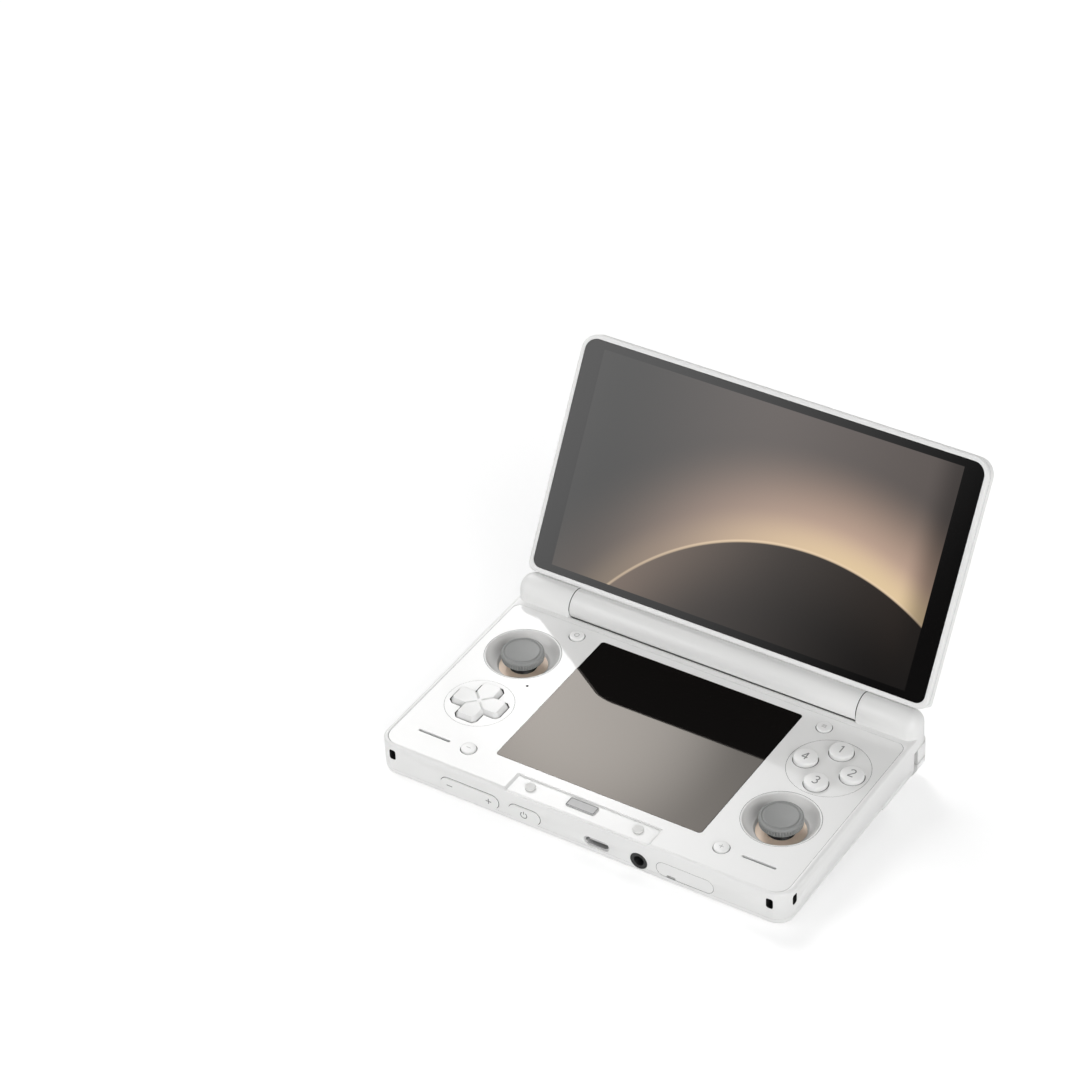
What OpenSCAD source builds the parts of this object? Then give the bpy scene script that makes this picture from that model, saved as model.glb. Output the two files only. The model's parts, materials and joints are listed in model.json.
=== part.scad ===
// Clamshell handheld game console with two screens, standing open on its feet.
// Each piece is drawn level, with the deck at z = 0 and the front face towards -Y,
// and stand() then tips the base forward onto its feet.

/* [Base] */
// Overall width of the console
body_w = 150; // [146:1:185]
// Depth from the front face to the wall behind the hinge
body_d = 92.9; // [92:0.1:114]
// Thickness of the base, without the humps under its rear corners
body_t = 13.3; // [13:0.1:16]
// Radius of the front corners, seen from above
corner_r = 6; // [5:0.5:7]
// Radius of the rear corners and of the hinge lugs' outer ends
rear_r = 4; // [3:0.5:4.5]
// Rounding round the deck's edge
deck_r = 0.8; // [0.4:0.1:1.4]
// Rounding round the lower edge
under_r = 2.4; // [1.5:0.1:2.6]
// Thickness of the case walls
wall = 1.6; // [1.3:0.05:1.95]
// Height of the bottom tray's rim above the underside
tray_h = 2.9; // [2.8:0.1:3.4]
// How far the rear humps reach below the underside
hump_drop = 5.7; // [4:0.1:8]
// Width of a rear hump and its shoulder keys
hump_w = 26; // [24:0.5:30]

/* [Lid and hinge] */
// Thickness of the lid
lid_t = 8.6; // [7.5:0.1:11]
// Opening angle as drawn, 0 is shut
open_angle = 120; // [0:1:165]
// Outer radius of the hinge barrel and of the lugs
hinge_r = 5.1; // [4.8:0.1:6.2]
// Height of the hinge axis above the deck
hinge_z = 3.0; // [2.6:0.1:4]
// Length of each hinge lug along the axis
lug_w = 21; // [18:0.5:24]
// Radius of the hinge pins
pin_r = 1.6; // [1:0.05:1.95]
// Rounding of the lid's back edges
lid_r = 5; // [3:0.5:5.5]
// Radius of the lid's upper corners
lid_corner_r = 6; // [5.5:0.5:9]
// White rim showing round the lid's glass
rim = 1.55; // [1:0.05:3]

/* [Displays] */
// Width of the lower display's window
low_w = 75.6; // [60:0.1:80]
// Height of the lower display's window
low_h = 64.9; // [50:0.1:65]
// Width of the upper display's lit area
up_w = 132.8; // [110:0.1:138]
// Height of the upper display's lit area
up_h = 74.7; // [60:0.1:76]

/* [Controls] */
// Distance of the upper control pair from the side of the case
ctrl_side = 17.8; // [17:0.1:20]
// Radius of the stick wells at the deck
well_r = 12.85; // [12:0.05:14]
// Depth of the stick wells
well_d = 4.8; // [4.6:0.1:5.2]
// Radius of the stick caps
cap_r = 7.1; // [5.8:0.1:7.3]
// Radius of the direction pad's round insert
pad_r = 11.5; // [11:0.1:13]
// Radius of the face buttons' round insert
abxy_r = 13.6; // [13:0.1:14.5]
// Distance of each face button from the middle of its insert
abxy_pitch = 8.35; // [8:0.05:9]
// Radius of a face button
button_r = 4.0; // [3:0.1:4.2]
// Radius of a small round button
small_r = 2.6; // [2:0.1:3.2]
// How far the face buttons stand above the deck
button_up = 1.6; // [1:0.1:1.8]
// Height of the rocker, power and card pills on the front face
pill_h = 5.2; // [4:0.1:5.6]
// Gap round each moving key
key_gap = 0.2; // [0.15:0.05:0.35]

/* [Ports] */
// Radius of the headphone bore
jack_r = 1.8; // [1.75:0.05:1.9]
// Width of the USB opening
usb_w = 9.0; // [8.9:0.05:9.4]
// Height of the USB opening
usb_h = 3.2; // [3.1:0.05:3.5]

/* [Hidden] */
$fn = 64;
seam = 0.06;
fit = 0.05;
pin_fit = 0.05;

hx = body_w / 2;
deck_shift = 4.25;
front_y = deck_shift - body_d / 2;
rear_y = front_y + body_d;
hinge_y = rear_y - hinge_r;
under_z = -body_t;
split_z = under_z + tray_h;

plate_t = 1.8;
plate_x = hx - 1.6;
plate_front = front_y + 0.9;
plate_rear = hinge_y - 7.0;
web_t = 1.2;
web_z = -plate_t - fit - web_t;
floor_z = under_z + wall;

lid_gap = 0.2;
lid_low = hinge_r + lid_gap;
lid_high = hinge_y - front_y + 0.4;
lid_face = 0.5;
lid_low_r = 3.2;
lid_back_w = lid_face - lid_t;
frame_t = 1.7;
glass_t = 1.0;
glass_x = hx - rim;
glass_low = lid_low + rim + 0.15;
glass_high = lid_high - rim + 0.1;
panel_t = 1.6;
barrel_x = hx - lug_w - 0.1;
pin_reach = 8;
cover_x = barrel_x - 6.4;
cover_t = 0.8;
cover_turn = 118;

low_y = 3.0;
up_x = hx - ctrl_side;
row_y = 17.0;
lower_x = up_x - 1.3;
lower_y = -11.1;
small_x = up_x - 10.7;
small_back = 33.5;
small_front = front_y + 10.4;
slot_x = up_x + 2.5;
slot_y = small_front + 0.05;
slot_len = 12.2;
slot_w = 1.0;
mic_at = [-up_x + 10.1, 3.9];

stick_pivot = -well_d - 3.4;
cap_top = 1.4;
cap_low = -2.0;
cap_chamfer = 0.7;
dome_r = 5.0;
dome_hole = dome_r - 0.3;
stem_r = 1.8;
ring_in = dome_r + 0.3;
ring_out = 6.2;
ring_half = 0.85;
stub_r = 0.8;
stick_pin = 0.7;
frame_in = 6.8;
frame_out = 8.0;
house_out = frame_out + 1.2;
floor_t = 0.8;
floor_r = 8.2;
ledge_r = 8.6;
lip_r = well_r - 0.35;

arm_half = 3.9;
arm_len = 9.2;
arm_chamfer = 1.2;
pad_gap = 0.5;
pad_pivot = -6.7;
pad_pin = 0.6;
pad_ring_out = 4.0;

front_z = -7.6;
key_out = 0.5;
volume_x = 35.25 - hx;
volume_len = 21.8;
power_x = -19.1;
power_len = 11.6;
usb_x = 7.4;
usb_z = -8.1;
jack_x = 22.8;
jack_z = -8.2;
card_x = 39.4;
card_len = 20.4;
recess_x = 25.9;
recess_slope = 0.8;
recess_y = front_y + 8.6;
recess_d = 0.7;
badge_at = [-0.9, front_y + 5.6];
stop_x = 19.8;
stop_y = front_y + 5.1;
loop_in = 5.8;
loop_z = -4.4;

hump_x0 = hx - hump_w;
key_y0 = hinge_y - 3.5;
hump_wall_y = key_y0 - 1.1;
hump_z = under_z - hump_drop;
hump_front = key_y0 - 21;
key_top = -4.9;
key_split = -10.9;
key_bulge = 1.6;
key_corner = 4.5;
key_notch = [3.4, 1.4];
key_pin_r = 0.8;
shoulder_pin = [hump_x0 + 1.7, hinge_y - 0.2];
trigger_pin = [hinge_y - 1.4, key_split - 1.4];

board_z = -8.0;
board_t = 1.0;
board_clear = 1.0;
cell_at = [-10, -11.5];
cell_size = [50, 33];
cell_t = 5.4;
fan_at = [15, 22.5];
fan_size = [29, 27];
fan_t = 3.6;
fan_floor = 0.7;
fan_bore = 12.2;
fan_blades = 11;
slot_pitch = 2.6;
slot_gap = 1.2;
spreader_at = [-18, 22.5];
spreader_t = 1.2;
membrane_z = -plate_t - 3.2;
screw_r = 0.9;
screw_head_r = 1.9;
screw_side = 5.5;
screw_mid = 36.5;
post_r = 2.2;
foot_t = 0.5;
foot_r = 3;
foot_x = hx - 13;
foot_front = front_y + 8;
foot_rear = hump_wall_y - 3.6;

tilt = atan(hump_drop / (foot_rear - foot_front));
foot_low = under_z - foot_t;
rise = -(foot_front * sin(tilt) + foot_low * cos(tilt));
key_edge_z = front_z + pill_h / 2 - 0.4;
y_near = (front_y - key_out) * cos(tilt) - key_edge_z * sin(tilt);
lean = 180 - open_angle;
far_v = lid_high - lid_r;
far_w = lid_back_w + lid_r;
far_y = hinge_y + far_v * cos(lean) - far_w * sin(lean);
far_z = hinge_z + far_v * sin(lean) + far_w * cos(lean);
y_far = far_y * cos(tilt) - far_z * sin(tilt) + lid_r;
slide_y = -(y_near + y_far) / 2;

// Tips the level console forward onto its feet and centres it over the origin.
module stand() {
    translate([0, slide_y, rise]) rotate([tilt, 0, 0]) children();
}

// Puts lid pieces, drawn flat with the hinge axis along X at the origin, at the open angle.
module open_lid() {
    translate([0, hinge_y, hinge_z]) rotate([lean, 0, 0]) children();
}

// Mirrors a right-hand piece when side is -1.
module on_side(side) {
    mirror([side < 0 ? 1 : 0, 0, 0]) children();
}

// Section through a rounded edge: w wide, h high, rounded by rt above and rb below.
module edge_section(w, h, rt, rb) {
    intersection() {
        square([w, h]);
        union() {
            translate([0, rb]) square([w, h - rb - rt]);
            if (rb > 0) {
                square([w - rb, rb]);
                translate([w - rb, rb]) circle(rb);
            }
            if (rt > 0) {
                translate([0, h - rt]) square([w - rt, rt]);
                translate([w - rt, h - rt]) circle(rt);
            }
        }
    }
}

// Half of a slab: full width, from y = 0 to a rounded end at y = len.
module half_slab(half, len, r, h, rt, rb) {
    translate([-(half - r), 0, 0]) cube([2 * (half - r), len - r, h]);
    translate([-(half - r), len - r, 0]) rotate([90, 0, 90])
        linear_extrude(2 * (half - r)) edge_section(r, h, rt, rb);
    for (side = [-1, 1]) on_side(side) {
        translate([half - r, len - r, 0]) rotate([90, 0, 0])
            linear_extrude(len - r) edge_section(r, h, rt, rb);
        translate([half - r, len - r, 0]) rotate_extrude(angle = 90)
            edge_section(r, h, rt, rb);
    }
}

// Flat outline with its own radius at the front and the rear corners.
module outline(half, y0, y1, r0, r1) {
    union() {
        translate([-half, y0 + r0]) square([2 * half, y1 - y0 - r0 - r1]);
        translate([-(half - r0), y0]) square([2 * (half - r0), r0]);
        translate([-(half - r1), y1 - r1]) square([2 * (half - r1), r1]);
        for (side = [-1, 1]) {
            translate([side * (half - r0), y0 + r0]) circle(r0);
            translate([side * (half - r1), y1 - r1]) circle(r1);
        }
    }
}

// Rounded rectangle centred on the origin.
module round_rect(w, h, r) {
    outline(w / 2, -h / 2, h / 2, r, r);
}

// Pill outline centred on the origin.
module pill(w, h) {
    union() {
        square([w - h, h], center = true);
        for (side = [-1, 1]) translate([side * (w - h) / 2, 0]) circle(h / 2);
    }
}

// Puts a flat outline, drawn with x along X and y along Z, on the front face;
// it is extruded from depth d0 to depth d1 behind the face.
module on_front(x, z, d0, d1) {
    translate([x, front_y + d1, z]) rotate([90, 0, 0]) linear_extrude(d1 - d0) children();
}

module case_outer(z0, z1, rt, rb) {
    mid = (front_y + rear_y) / 2;
    translate([0, mid, z0]) half_slab(hx, rear_y - mid, rear_r, z1 - z0, rt, rb);
    translate([0, mid, z0]) mirror([0, 1, 0])
        half_slab(hx, mid - front_y, corner_r, z1 - z0, rt, rb);
}

// Space taken out of the rear corners for the shoulder keys and triggers.
module key_bay(z0, z1, grow) {
    for (side = [-1, 1]) on_side(side)
        translate([hump_x0 - 0.35 - grow, hump_wall_y - grow, z0])
            cube([hump_w + 20, 30, z1 - z0]);
}

module lug(side) {
    x0 = hx - lug_w;
    on_side(side) {
        translate([x0, hinge_y, hinge_z]) rotate([0, 90, 0]) rotate([0, 0, 90])
            rotate_extrude(angle = 180)
                edge_section(hinge_r, lug_w, rear_r, 0);
        translate([x0, hinge_y - hinge_r, key_top + 0.3])
            linear_extrude(hinge_z - key_top - 0.3) lug_plan();
    }
}

// Plan of a lug's foot, with its outer corners rounded like the puck above it.
module lug_plan() {
    union() {
        square([lug_w - rear_r, 2 * hinge_r]);
        translate([0, rear_r]) square([lug_w, 2 * hinge_r - 2 * rear_r]);
        for (y = [rear_r, 2 * hinge_r - rear_r]) translate([lug_w - rear_r, y]) circle(rear_r);
    }
}

module stick_places() {
    translate([-up_x, row_y]) children();
    translate([lower_x, lower_y]) children();
}

module small_places() {
    for (x = [-small_x, small_x]) for (y = [small_back, small_front]) translate([x, y]) children();
}

module abxy_places() {
    for (k = [0:3]) translate([abxy_pitch * cos(90 * k), abxy_pitch * sin(90 * k)]) children();
}

module case_cavity() {
    inner = wall + 0.2;
    difference() {
        union() {
            translate([0, 0, split_z - 1]) linear_extrude(web_z - split_z + 1)
                outline(hx - inner, front_y + inner, plate_rear, corner_r - inner, 1);
            translate([0, 0, split_z - 1]) linear_extrude(hinge_z - hinge_r - 0.4 - wall - split_z + 1)
                outline(hx - inner, plate_rear - 2, rear_y - inner, 1, rear_r - inner);
        }
        key_bay(split_z - 2, 1, wall);
    }
}

module upper_case() stand() color("whitesmoke") difference() {
    union() {
        difference() {
            case_outer(split_z + seam, 0, deck_r, 0);
            translate([-barrel_x - 0.1, hinge_y, hinge_z]) rotate([0, 90, 0])
                cylinder(h = 2 * barrel_x + 0.2, r = hinge_r + 0.4);
            key_bay(split_z - 1, key_top + 0.3, 0);
        }
        lug(-1);
        lug(1);
    }
    case_cavity();
    translate([0, 0, -plate_t - fit]) linear_extrude(5)
        outline(plate_x + fit, plate_front - fit, plate_rear + fit, corner_r - 1, 3);
    translate([0, 0, web_z - 1]) linear_extrude(web_t + 2) web_openings();
    recess(front_y - 1, plate_front + 1);
    front_openings();
    for (side = [-1, 1]) on_side(side) {
        loop_holes();
        translate([0, hinge_y, hinge_z]) rotate([0, 90, 0]) translate([0, 0, hx - lug_w - 1])
            cylinder(h = lug_w - wall, r = pin_r);
        translate([shoulder_pin.x, shoulder_pin.y, key_top])
            cylinder(h = 2.4, r = key_pin_r);
    }
}

// Shallow step in the deck's front edge, with sloping ends.
module recess(y0, y1) {
    translate([0, y1, 0]) rotate([90, 0, 0]) linear_extrude(y1 - y0) polygon([
        [-recess_x, -recess_d], [recess_x, -recess_d],
        [recess_x + recess_slope, 0], [recess_x + recess_slope, 1],
        [-recess_x - recess_slope, 1], [-recess_x - recess_slope, 0]
    ]);
}

module web_openings() {
    translate([0, low_y]) square([low_w - 4, low_h - 4], center = true);
    stick_places() circle(well_r - 0.6);
    translate([-lower_x, lower_y]) circle(pad_r - 0.6);
    translate([up_x, row_y]) circle(abxy_r - 0.6);
    small_places() circle(small_r + 0.9);
    for (side = [-1, 1]) translate([side * slot_x, slot_y]) pill(slot_len + 1, slot_w + 1);
    translate(mic_at) circle(1);
}

module front_openings() {
    on_front(volume_x, front_z, -1, wall + 1)
        pill(volume_len + 2 * key_gap, pill_h + 2 * key_gap);
    on_front(power_x, front_z, -1, wall + 1) pill(power_len + 2 * key_gap, pill_h + 2 * key_gap);
    on_front(usb_x, usb_z, -1, wall + 1) pill(usb_w + 0.6, usb_h + 0.6);
    on_front(jack_x, jack_z, -1, wall + 1) circle(jack_r + 1.3 + fit);
    on_front(card_x, front_z, -1, wall + 1) pill(card_len + 0.2, pill_h + 0.2);
}

// A cord loop runs in through the front face and out through the side of each front corner.
module loop_holes() {
    on_front(hx - loop_in, loop_z, -1, loop_in + 0.8) round_rect(2.4, 3.9, 0.8);
    translate([hx - loop_in - 1.2, front_y + loop_in, loop_z]) rotate([90, 0, 90])
        linear_extrude(loop_in + 3) round_rect(2.4, 3.9, 0.8);
}

// Outline of a hump seen from behind, with a flat top and two large lower corners.
module hump_section(x0, x1, z0, z1, r) {
    union() {
        translate([x0, z0 + r]) square([x1 - x0, z1 - z0 - r]);
        translate([x0 + r, z0]) square([x1 - x0 - 2 * r, r]);
        translate([x0 + r, z0 + r]) circle(r);
        translate([x1 - r, z0 + r]) circle(r);
    }
}

// Outline of a hump seen from the side: it sinks from the underside to a flat by the keys.
module hump_side(y0, y1, z0, z1) {
    polygon([[y0, under_z], [y1 - 8.5, z0], [y1, z0], [y1, z1], [y0, z1]]);
}

module hump(side, thin) {
    on_side(side) intersection() {
        translate([0, hump_wall_y - thin, 0]) rotate([90, 0, 0]) linear_extrude(40)
            hump_section(hump_x0 + thin, hx - thin, hump_z + thin, split_z + 1, 8.5 - thin);
        translate([hump_x0 - 1, 0, 0]) rotate([90, 0, 90]) linear_extrude(hump_w + 2)
            hump_side(hump_front + 2 * thin, hump_wall_y - thin, hump_z + thin, split_z + 1);
    }
}

module lower_case() stand() color("whitesmoke") difference() {
    union() {
        difference() {
            tray();
            hump(-1, wall);
            hump(1, wall);
        }
        board_posts();
    }
    screw_places() {
        translate([0, 0, under_z - 1]) cylinder(h = 20, r = screw_r + 0.1);
        translate([0, 0, under_z - 1]) cylinder(h = 1.8, r = screw_head_r + 0.1);
    }
    fan_slots();
    front_openings();
    for (side = [-1, 1]) on_side(side) trigger_axle(key_pin_r);
}

// The tray with its two humps, before it is drilled.
module tray() {
    difference() {
        union() {
            difference() {
                case_outer(under_z, split_z, 0, under_r);
                key_bay(under_z - 1, split_z + 1, 0);
            }
            intersection() {
                union() {
                    hump(-1, 0);
                    hump(1, 0);
                }
                translate([-hx, front_y, hump_z - 1])
                    cube([2 * hx, body_d, split_z - hump_z + 1]);
            }
        }
        difference() {
            translate([0, 0, floor_z]) linear_extrude(tray_h + 1) outline(
                hx - wall - 0.2, front_y + wall + 0.2, rear_y - wall - 0.2, corner_r - 2, 2);
            key_bay(under_z, split_z + 2, wall);
        }
    }
}

// Rod along a trigger's hinge axis, from the case cheek into the trigger.
module trigger_axle(r) {
    translate([hump_x0 - 0.35 - wall, trigger_pin.x, trigger_pin.y]) rotate([0, 90, 0])
        cylinder(h = hump_w - 3, r = r);
}

// Posts that carry the board, each round a case screw.
module board_posts() {
    screw_places() translate([0, 0, floor_z - 0.1])
        cylinder(h = board_z - board_t - floor_z + 0.1, r = post_r);
}

// Four screws near the corners and two near the middle.
module screw_places() {
    for (x = [-hx + screw_side, hx - screw_side]) for (y = [front_y + 17, hump_front - 4])
        translate([x, y, 0]) children();
    for (x = [-screw_mid, screw_mid]) translate([x, plate_rear - 3, 0]) children();
}

// Air slots under the fan and at the rear.
module fan_slots() {
    for (k = [-4:4]) translate([fan_at.x + slot_pitch * k, fan_at.y, under_z - 0.5])
        linear_extrude(wall + 1) rotate(90) pill(22 - 1.6 * abs(k), slot_gap);
    for (k = [-5:5]) translate([spreader_at.x + slot_pitch * k, spreader_at.y + 7.5, under_z - 0.5])
        linear_extrude(wall + 1) rotate(90) pill(8, slot_gap);
}

module faceplate() stand() color("white") difference() {
    translate([0, 0, -plate_t]) linear_extrude(plate_t) difference() {
        outline(plate_x - fit, plate_front, plate_rear, corner_r - 0.9, 3);
        translate([0, low_y]) round_rect(low_w + 0.1, low_h + 0.1, 1.2);
        stick_places() circle(well_r + fit);
        translate([-lower_x, lower_y]) circle(pad_r + fit);
        translate([up_x, row_y]) circle(abxy_r + fit);
        small_places() circle(small_r + key_gap);
        for (side = [-1, 1]) translate([side * slot_x, slot_y]) pill(slot_len, slot_w);
        translate(mic_at) circle(0.45);
    }
    recess(plate_front - 1, recess_y);
}

module lower_glass() stand() color("black")
    translate([0, low_y, -1.0]) linear_extrude(1.0) round_rect(low_w, low_h, 1.15);

module lower_panel() stand() color("dimgray")
    translate([0, low_y, -3.4]) linear_extrude(2.4) round_rect(low_w - 4.6, low_h - 4.6, 1);

module main_board() stand() color("darkgreen") translate([0, 0, board_z - board_t])
    linear_extrude(board_t) difference() {
        outline(hx - 4, front_y + 14, hump_wall_y - wall - 1.5, 3, 3);
        stick_places() square(2 * house_out + 0.6, center = true);
        board_notch(fan_at, fan_size);
        board_notch(cell_at, cell_size);
        translate([card_x, front_y + 12]) square([15, 14], center = true);
        screw_places() circle(screw_r + 0.3);
    }

// Opening in the board round a part that lies on the case floor.
module board_notch(at, size) {
    translate(at) square([size.x + 2 * board_clear, size.y + 2 * board_clear], center = true);
}

module battery() stand() color("dimgray") translate([cell_at.x, cell_at.y, floor_z])
    linear_extrude(cell_t) round_rect(cell_size.x, cell_size.y, 1.5);

module heat_spreader() stand() color("peru")
    translate([spreader_at.x, spreader_at.y, board_z - board_t - spreader_t])
        linear_extrude(spreader_t) round_rect(32, 24, 1);

// Open scroll box of the blower, with its outlet towards the rear slots.
module fan_housing() stand() color("dimgray") translate([fan_at.x, fan_at.y, floor_z])
    difference() {
        linear_extrude(fan_t) round_rect(fan_size.x, fan_size.y, 4);
        translate([0, 0, fan_floor]) cylinder(h = fan_t - 2 * fan_floor + 0.1, r = fan_bore);
        translate([0, 0, -1]) cylinder(h = 3, r = 8.5);
        translate([-20, 3, fan_floor]) cube([20, 9, fan_t - 2 * fan_floor + 0.1]);
        translate([0, 0, 2]) cylinder(h = 3, r = 1 + pin_fit);
    }

module fan_impeller() stand() color("black") translate([fan_at.x, fan_at.y, floor_z]) union() {
    translate([0, 0, fan_floor + 0.25]) cylinder(h = 1.8, r = 5);
    translate([0, 0, 2.5]) cylinder(h = 1.1, r = 1);
    for (k = [0:fan_blades - 1]) rotate(k * 360 / fan_blades)
        translate([4.6, -0.25, fan_floor + 0.3]) cube([fan_bore - 5.1, 0.5, 1.6]);
}

// A stick's own pieces, drawn about the middle of its well.
module stick_place(side) {
    stand() translate(side < 0 ? [-up_x, row_y, 0] : [lower_x, lower_y, 0]) children();
}

module well(side) stick_place(side) color("white") rotate_extrude() difference() {
    union() {
        translate([floor_r, -well_d - 0.9]) square([well_r - 0.7 - floor_r, well_d + 0.9]);
        translate([floor_r, -plate_t - fit]) square([well_r - floor_r, plate_t + fit]);
    }
    translate([0, -well_d]) square([ledge_r, well_d + 1]);
    well_curve();
}

// The bowl's hollow: a quarter arc from the lip down to the ledge round the floor.
module well_curve() {
    bowl_r = lip_r - ledge_r + 2.2;
    intersection() {
        translate([ledge_r, -well_d]) square([lip_r - ledge_r, well_d + 1]);
        translate([lip_r - bowl_r, -well_d + bowl_r + 0.55]) circle(bowl_r);
    }
}

module well_floor(side) stick_place(side) color("burlywood")
    translate([0, 0, -well_d - floor_t]) difference() {
        cylinder(h = floor_t, r = floor_r - fit);
        translate([0, 0, -1]) cylinder(h = floor_t + 2, r = dome_hole);
    }

module stick_housing(side) stick_place(side) color("silver") difference() {
    translate([0, 0, floor_z]) linear_extrude(-well_d - floor_t - 0.2 - floor_z)
        square(2 * house_out, center = true);
    translate([0, 0, floor_z + 0.5]) linear_extrude(20)
        square(2 * frame_out + 0.4, center = true);
}

module stick_frame(side) stick_place(side) color("gray") difference() {
    translate([0, 0, stick_pivot - 1.6]) linear_extrude(3.2)
        square(2 * frame_out, center = true);
    translate([0, 0, stick_pivot - 3]) linear_extrude(6) square(2 * frame_in, center = true);
    translate([-20, 0, stick_pivot]) rotate([0, 90, 0]) cylinder(h = 40, r = stub_r + pin_fit);
}

module stick_yoke(side) stick_place(side) color("black") translate([0, 0, stick_pivot]) difference() {
    union() {
        translate([0, 0, -ring_half]) difference() {
            cylinder(h = 2 * ring_half, r = ring_out);
            translate([0, 0, -1]) cylinder(h = 4, r = ring_in);
        }
        for (turn = [0, 180]) rotate(turn) translate([ring_out - 0.5, 0, 0]) rotate([0, 90, 0])
            cylinder(h = frame_out - ring_out + 0.4, r = stub_r);
    }
    translate([0, 20, 0]) rotate([90, 0, 0]) cylinder(h = 40, r = stick_pin + pin_fit);
}

// Stem, cross pin and the dust dome, whose centre is the pivot.
module stick_shaft(side) stick_place(side) color("black") translate([0, 0, stick_pivot]) union() {
    rotate_extrude() intersection() {
        difference() {
            circle(dome_r);
            circle(dome_r - 0.9);
        }
        translate([0, stick_pin + 0.2]) square([10, 10]);
    }
    translate([0, 0, -1.4]) cylinder(h = cap_low - stick_pivot + 2.6, r = stem_r);
    translate([0, ring_out, 0]) rotate([90, 0, 0]) cylinder(h = 2 * ring_out, r = stick_pin);
}

module stick_cap(side) stick_place(side) color("gray") rotate_extrude() difference() {
    union() {
        translate([0, cap_low + cap_chamfer])
            square([cap_r, cap_top - 0.6 - cap_low - cap_chamfer]);
        polygon([
            [0, cap_low], [cap_r - cap_chamfer, cap_low],
            [cap_r, cap_low + cap_chamfer], [0, cap_low + cap_chamfer]
        ]);
        translate([0, cap_top - 0.7]) square([cap_r - 0.6, 0.7]);
        translate([cap_r - 0.6, cap_top - 0.6]) circle(0.6);
    }
    translate([0, cap_low - 1]) square([stem_r, 2.2]);
    translate([cap_r - 1.15, cap_top - 0.15]) square([0.25, 1]);
}

// One arm of the direction pad, its end corners chamfered.
module arm(grow) {
    half = arm_half + grow;
    end = arm_half - arm_chamfer + grow / 2;
    polygon([
        [0, -half], [arm_len - arm_chamfer, -half], [arm_len + grow, -end],
        [arm_len + grow, end], [arm_len - arm_chamfer, half], [0, half]
    ]);
}

module pad_plan(grow) {
    union() for (k = [0:3]) rotate(90 * k) arm(grow);
}

// The pad's round insert, with a skirt whose two bores carry the yoke.
module pad_insert() stand() color("white") translate([-lower_x, lower_y, 0]) difference() {
    union() {
        translate([0, 0, -plate_t - fit]) linear_extrude(plate_t + fit) difference() {
            circle(pad_r - fit);
            pad_plan(pad_gap);
        }
        translate([0, 0, board_z]) difference() {
            cylinder(h = -plate_t - board_z, r = pad_r - 0.7);
            translate([0, 0, -1]) cylinder(h = 20, r = pad_r - 1.6);
        }
    }
    translate([-20, 0, pad_pivot]) rotate([0, 90, 0]) cylinder(h = 40, r = pad_pin + pin_fit);
}

// Cross-shaped key on a hub; the hub's cross pin turns in the yoke.
module direction_pad() stand() color("white") translate([-lower_x, lower_y, 0]) union() {
    translate([0, 0, -plate_t - 1.2]) linear_extrude(plate_t + 1.2 + button_up) pad_plan(0);
    translate([0, 0, pad_pivot - 1.0]) cylinder(h = -plate_t - 1.2 - pad_pivot + 1.1, r = 2.0);
    translate([0, pad_ring_out, pad_pivot]) rotate([90, 0, 0])
        cylinder(h = 2 * pad_ring_out, r = pad_pin);
}

module pad_yoke() stand() color("gray") translate([-lower_x, lower_y, pad_pivot]) difference() {
    union() {
        translate([0, 0, -1]) difference() {
            cylinder(h = 2, r = pad_ring_out);
            translate([0, 0, -1]) cylinder(h = 4, r = 2.6);
        }
        for (turn = [0, 180]) rotate(turn) translate([pad_ring_out - 0.5, 0, 0])
            rotate([0, 90, 0]) cylinder(h = pad_r - 1.2 - pad_ring_out + 0.5, r = pad_pin);
    }
    translate([0, 20, 0]) rotate([90, 0, 0]) cylinder(h = 40, r = pad_pin + pin_fit);
}

module button_insert() stand() color("white") translate([up_x, row_y, -plate_t])
    linear_extrude(plate_t) difference() {
        circle(abxy_r - fit);
        abxy_places() circle(button_r + key_gap);
    }

// A round key: a domed head and a flange that keeps it under its plate.
module round_key(r, up, flange) {
    rotate_extrude() union() {
        translate([0, -plate_t - 0.3]) square([r, plate_t + 0.3 + up - 0.5]);
        translate([0, up - 0.6]) square([r - 0.5, 0.6]);
        translate([r - 0.5, up - 0.5]) circle(0.5);
        translate([0, -plate_t - 1.1]) square([r + flange, 0.8]);
    }
}

module face_button(k) stand() color("white") translate([up_x, row_y, 0])
    translate([abxy_pitch * cos(90 * k), abxy_pitch * sin(90 * k), 0])
        round_key(button_r, button_up, 0.5);

module small_button(sx, y) stand() color("white") translate([sx * small_x, y, 0])
    round_key(small_r, 0.65, 0.6);

// Rubber sheet with a dome under each key of one side.
module membrane(side) stand() color("lightgray") {
    if (side < 0) {
        translate([-lower_x, lower_y, membrane_z]) difference() {
            cylinder(h = 0.8, r = pad_r - 1.8);
            translate([0, 0, -1]) cylinder(h = 4, r = 2.8);
        }
    } else {
        translate([up_x, row_y, membrane_z]) union() {
            cylinder(h = 0.6, r = abxy_r - 1);
            abxy_places() cylinder(h = 1.0, r = 2.6);
        }
    }
}

// Rocker with a flange behind the wall and an upright round rib that it rocks on.
module volume_rocker() stand() color("white") union() {
    on_front(volume_x, front_z, -key_out, wall + 0.7) pill(volume_len, pill_h);
    on_front(volume_x, front_z, wall + 0.6, wall + 1.3) pill(volume_len - 6, pill_h + 1.6);
    translate([volume_x, front_y + wall + 1.3, front_z - 2.2]) cylinder(h = 4.4, r = 0.8);
}

module power_button() stand() color("white") union() {
    on_front(power_x, front_z, -key_out, wall + 0.7) pill(power_len, pill_h);
    on_front(power_x, front_z, wall + 0.7, wall + 1.3) pill(power_len, pill_h + 1.4);
}

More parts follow.
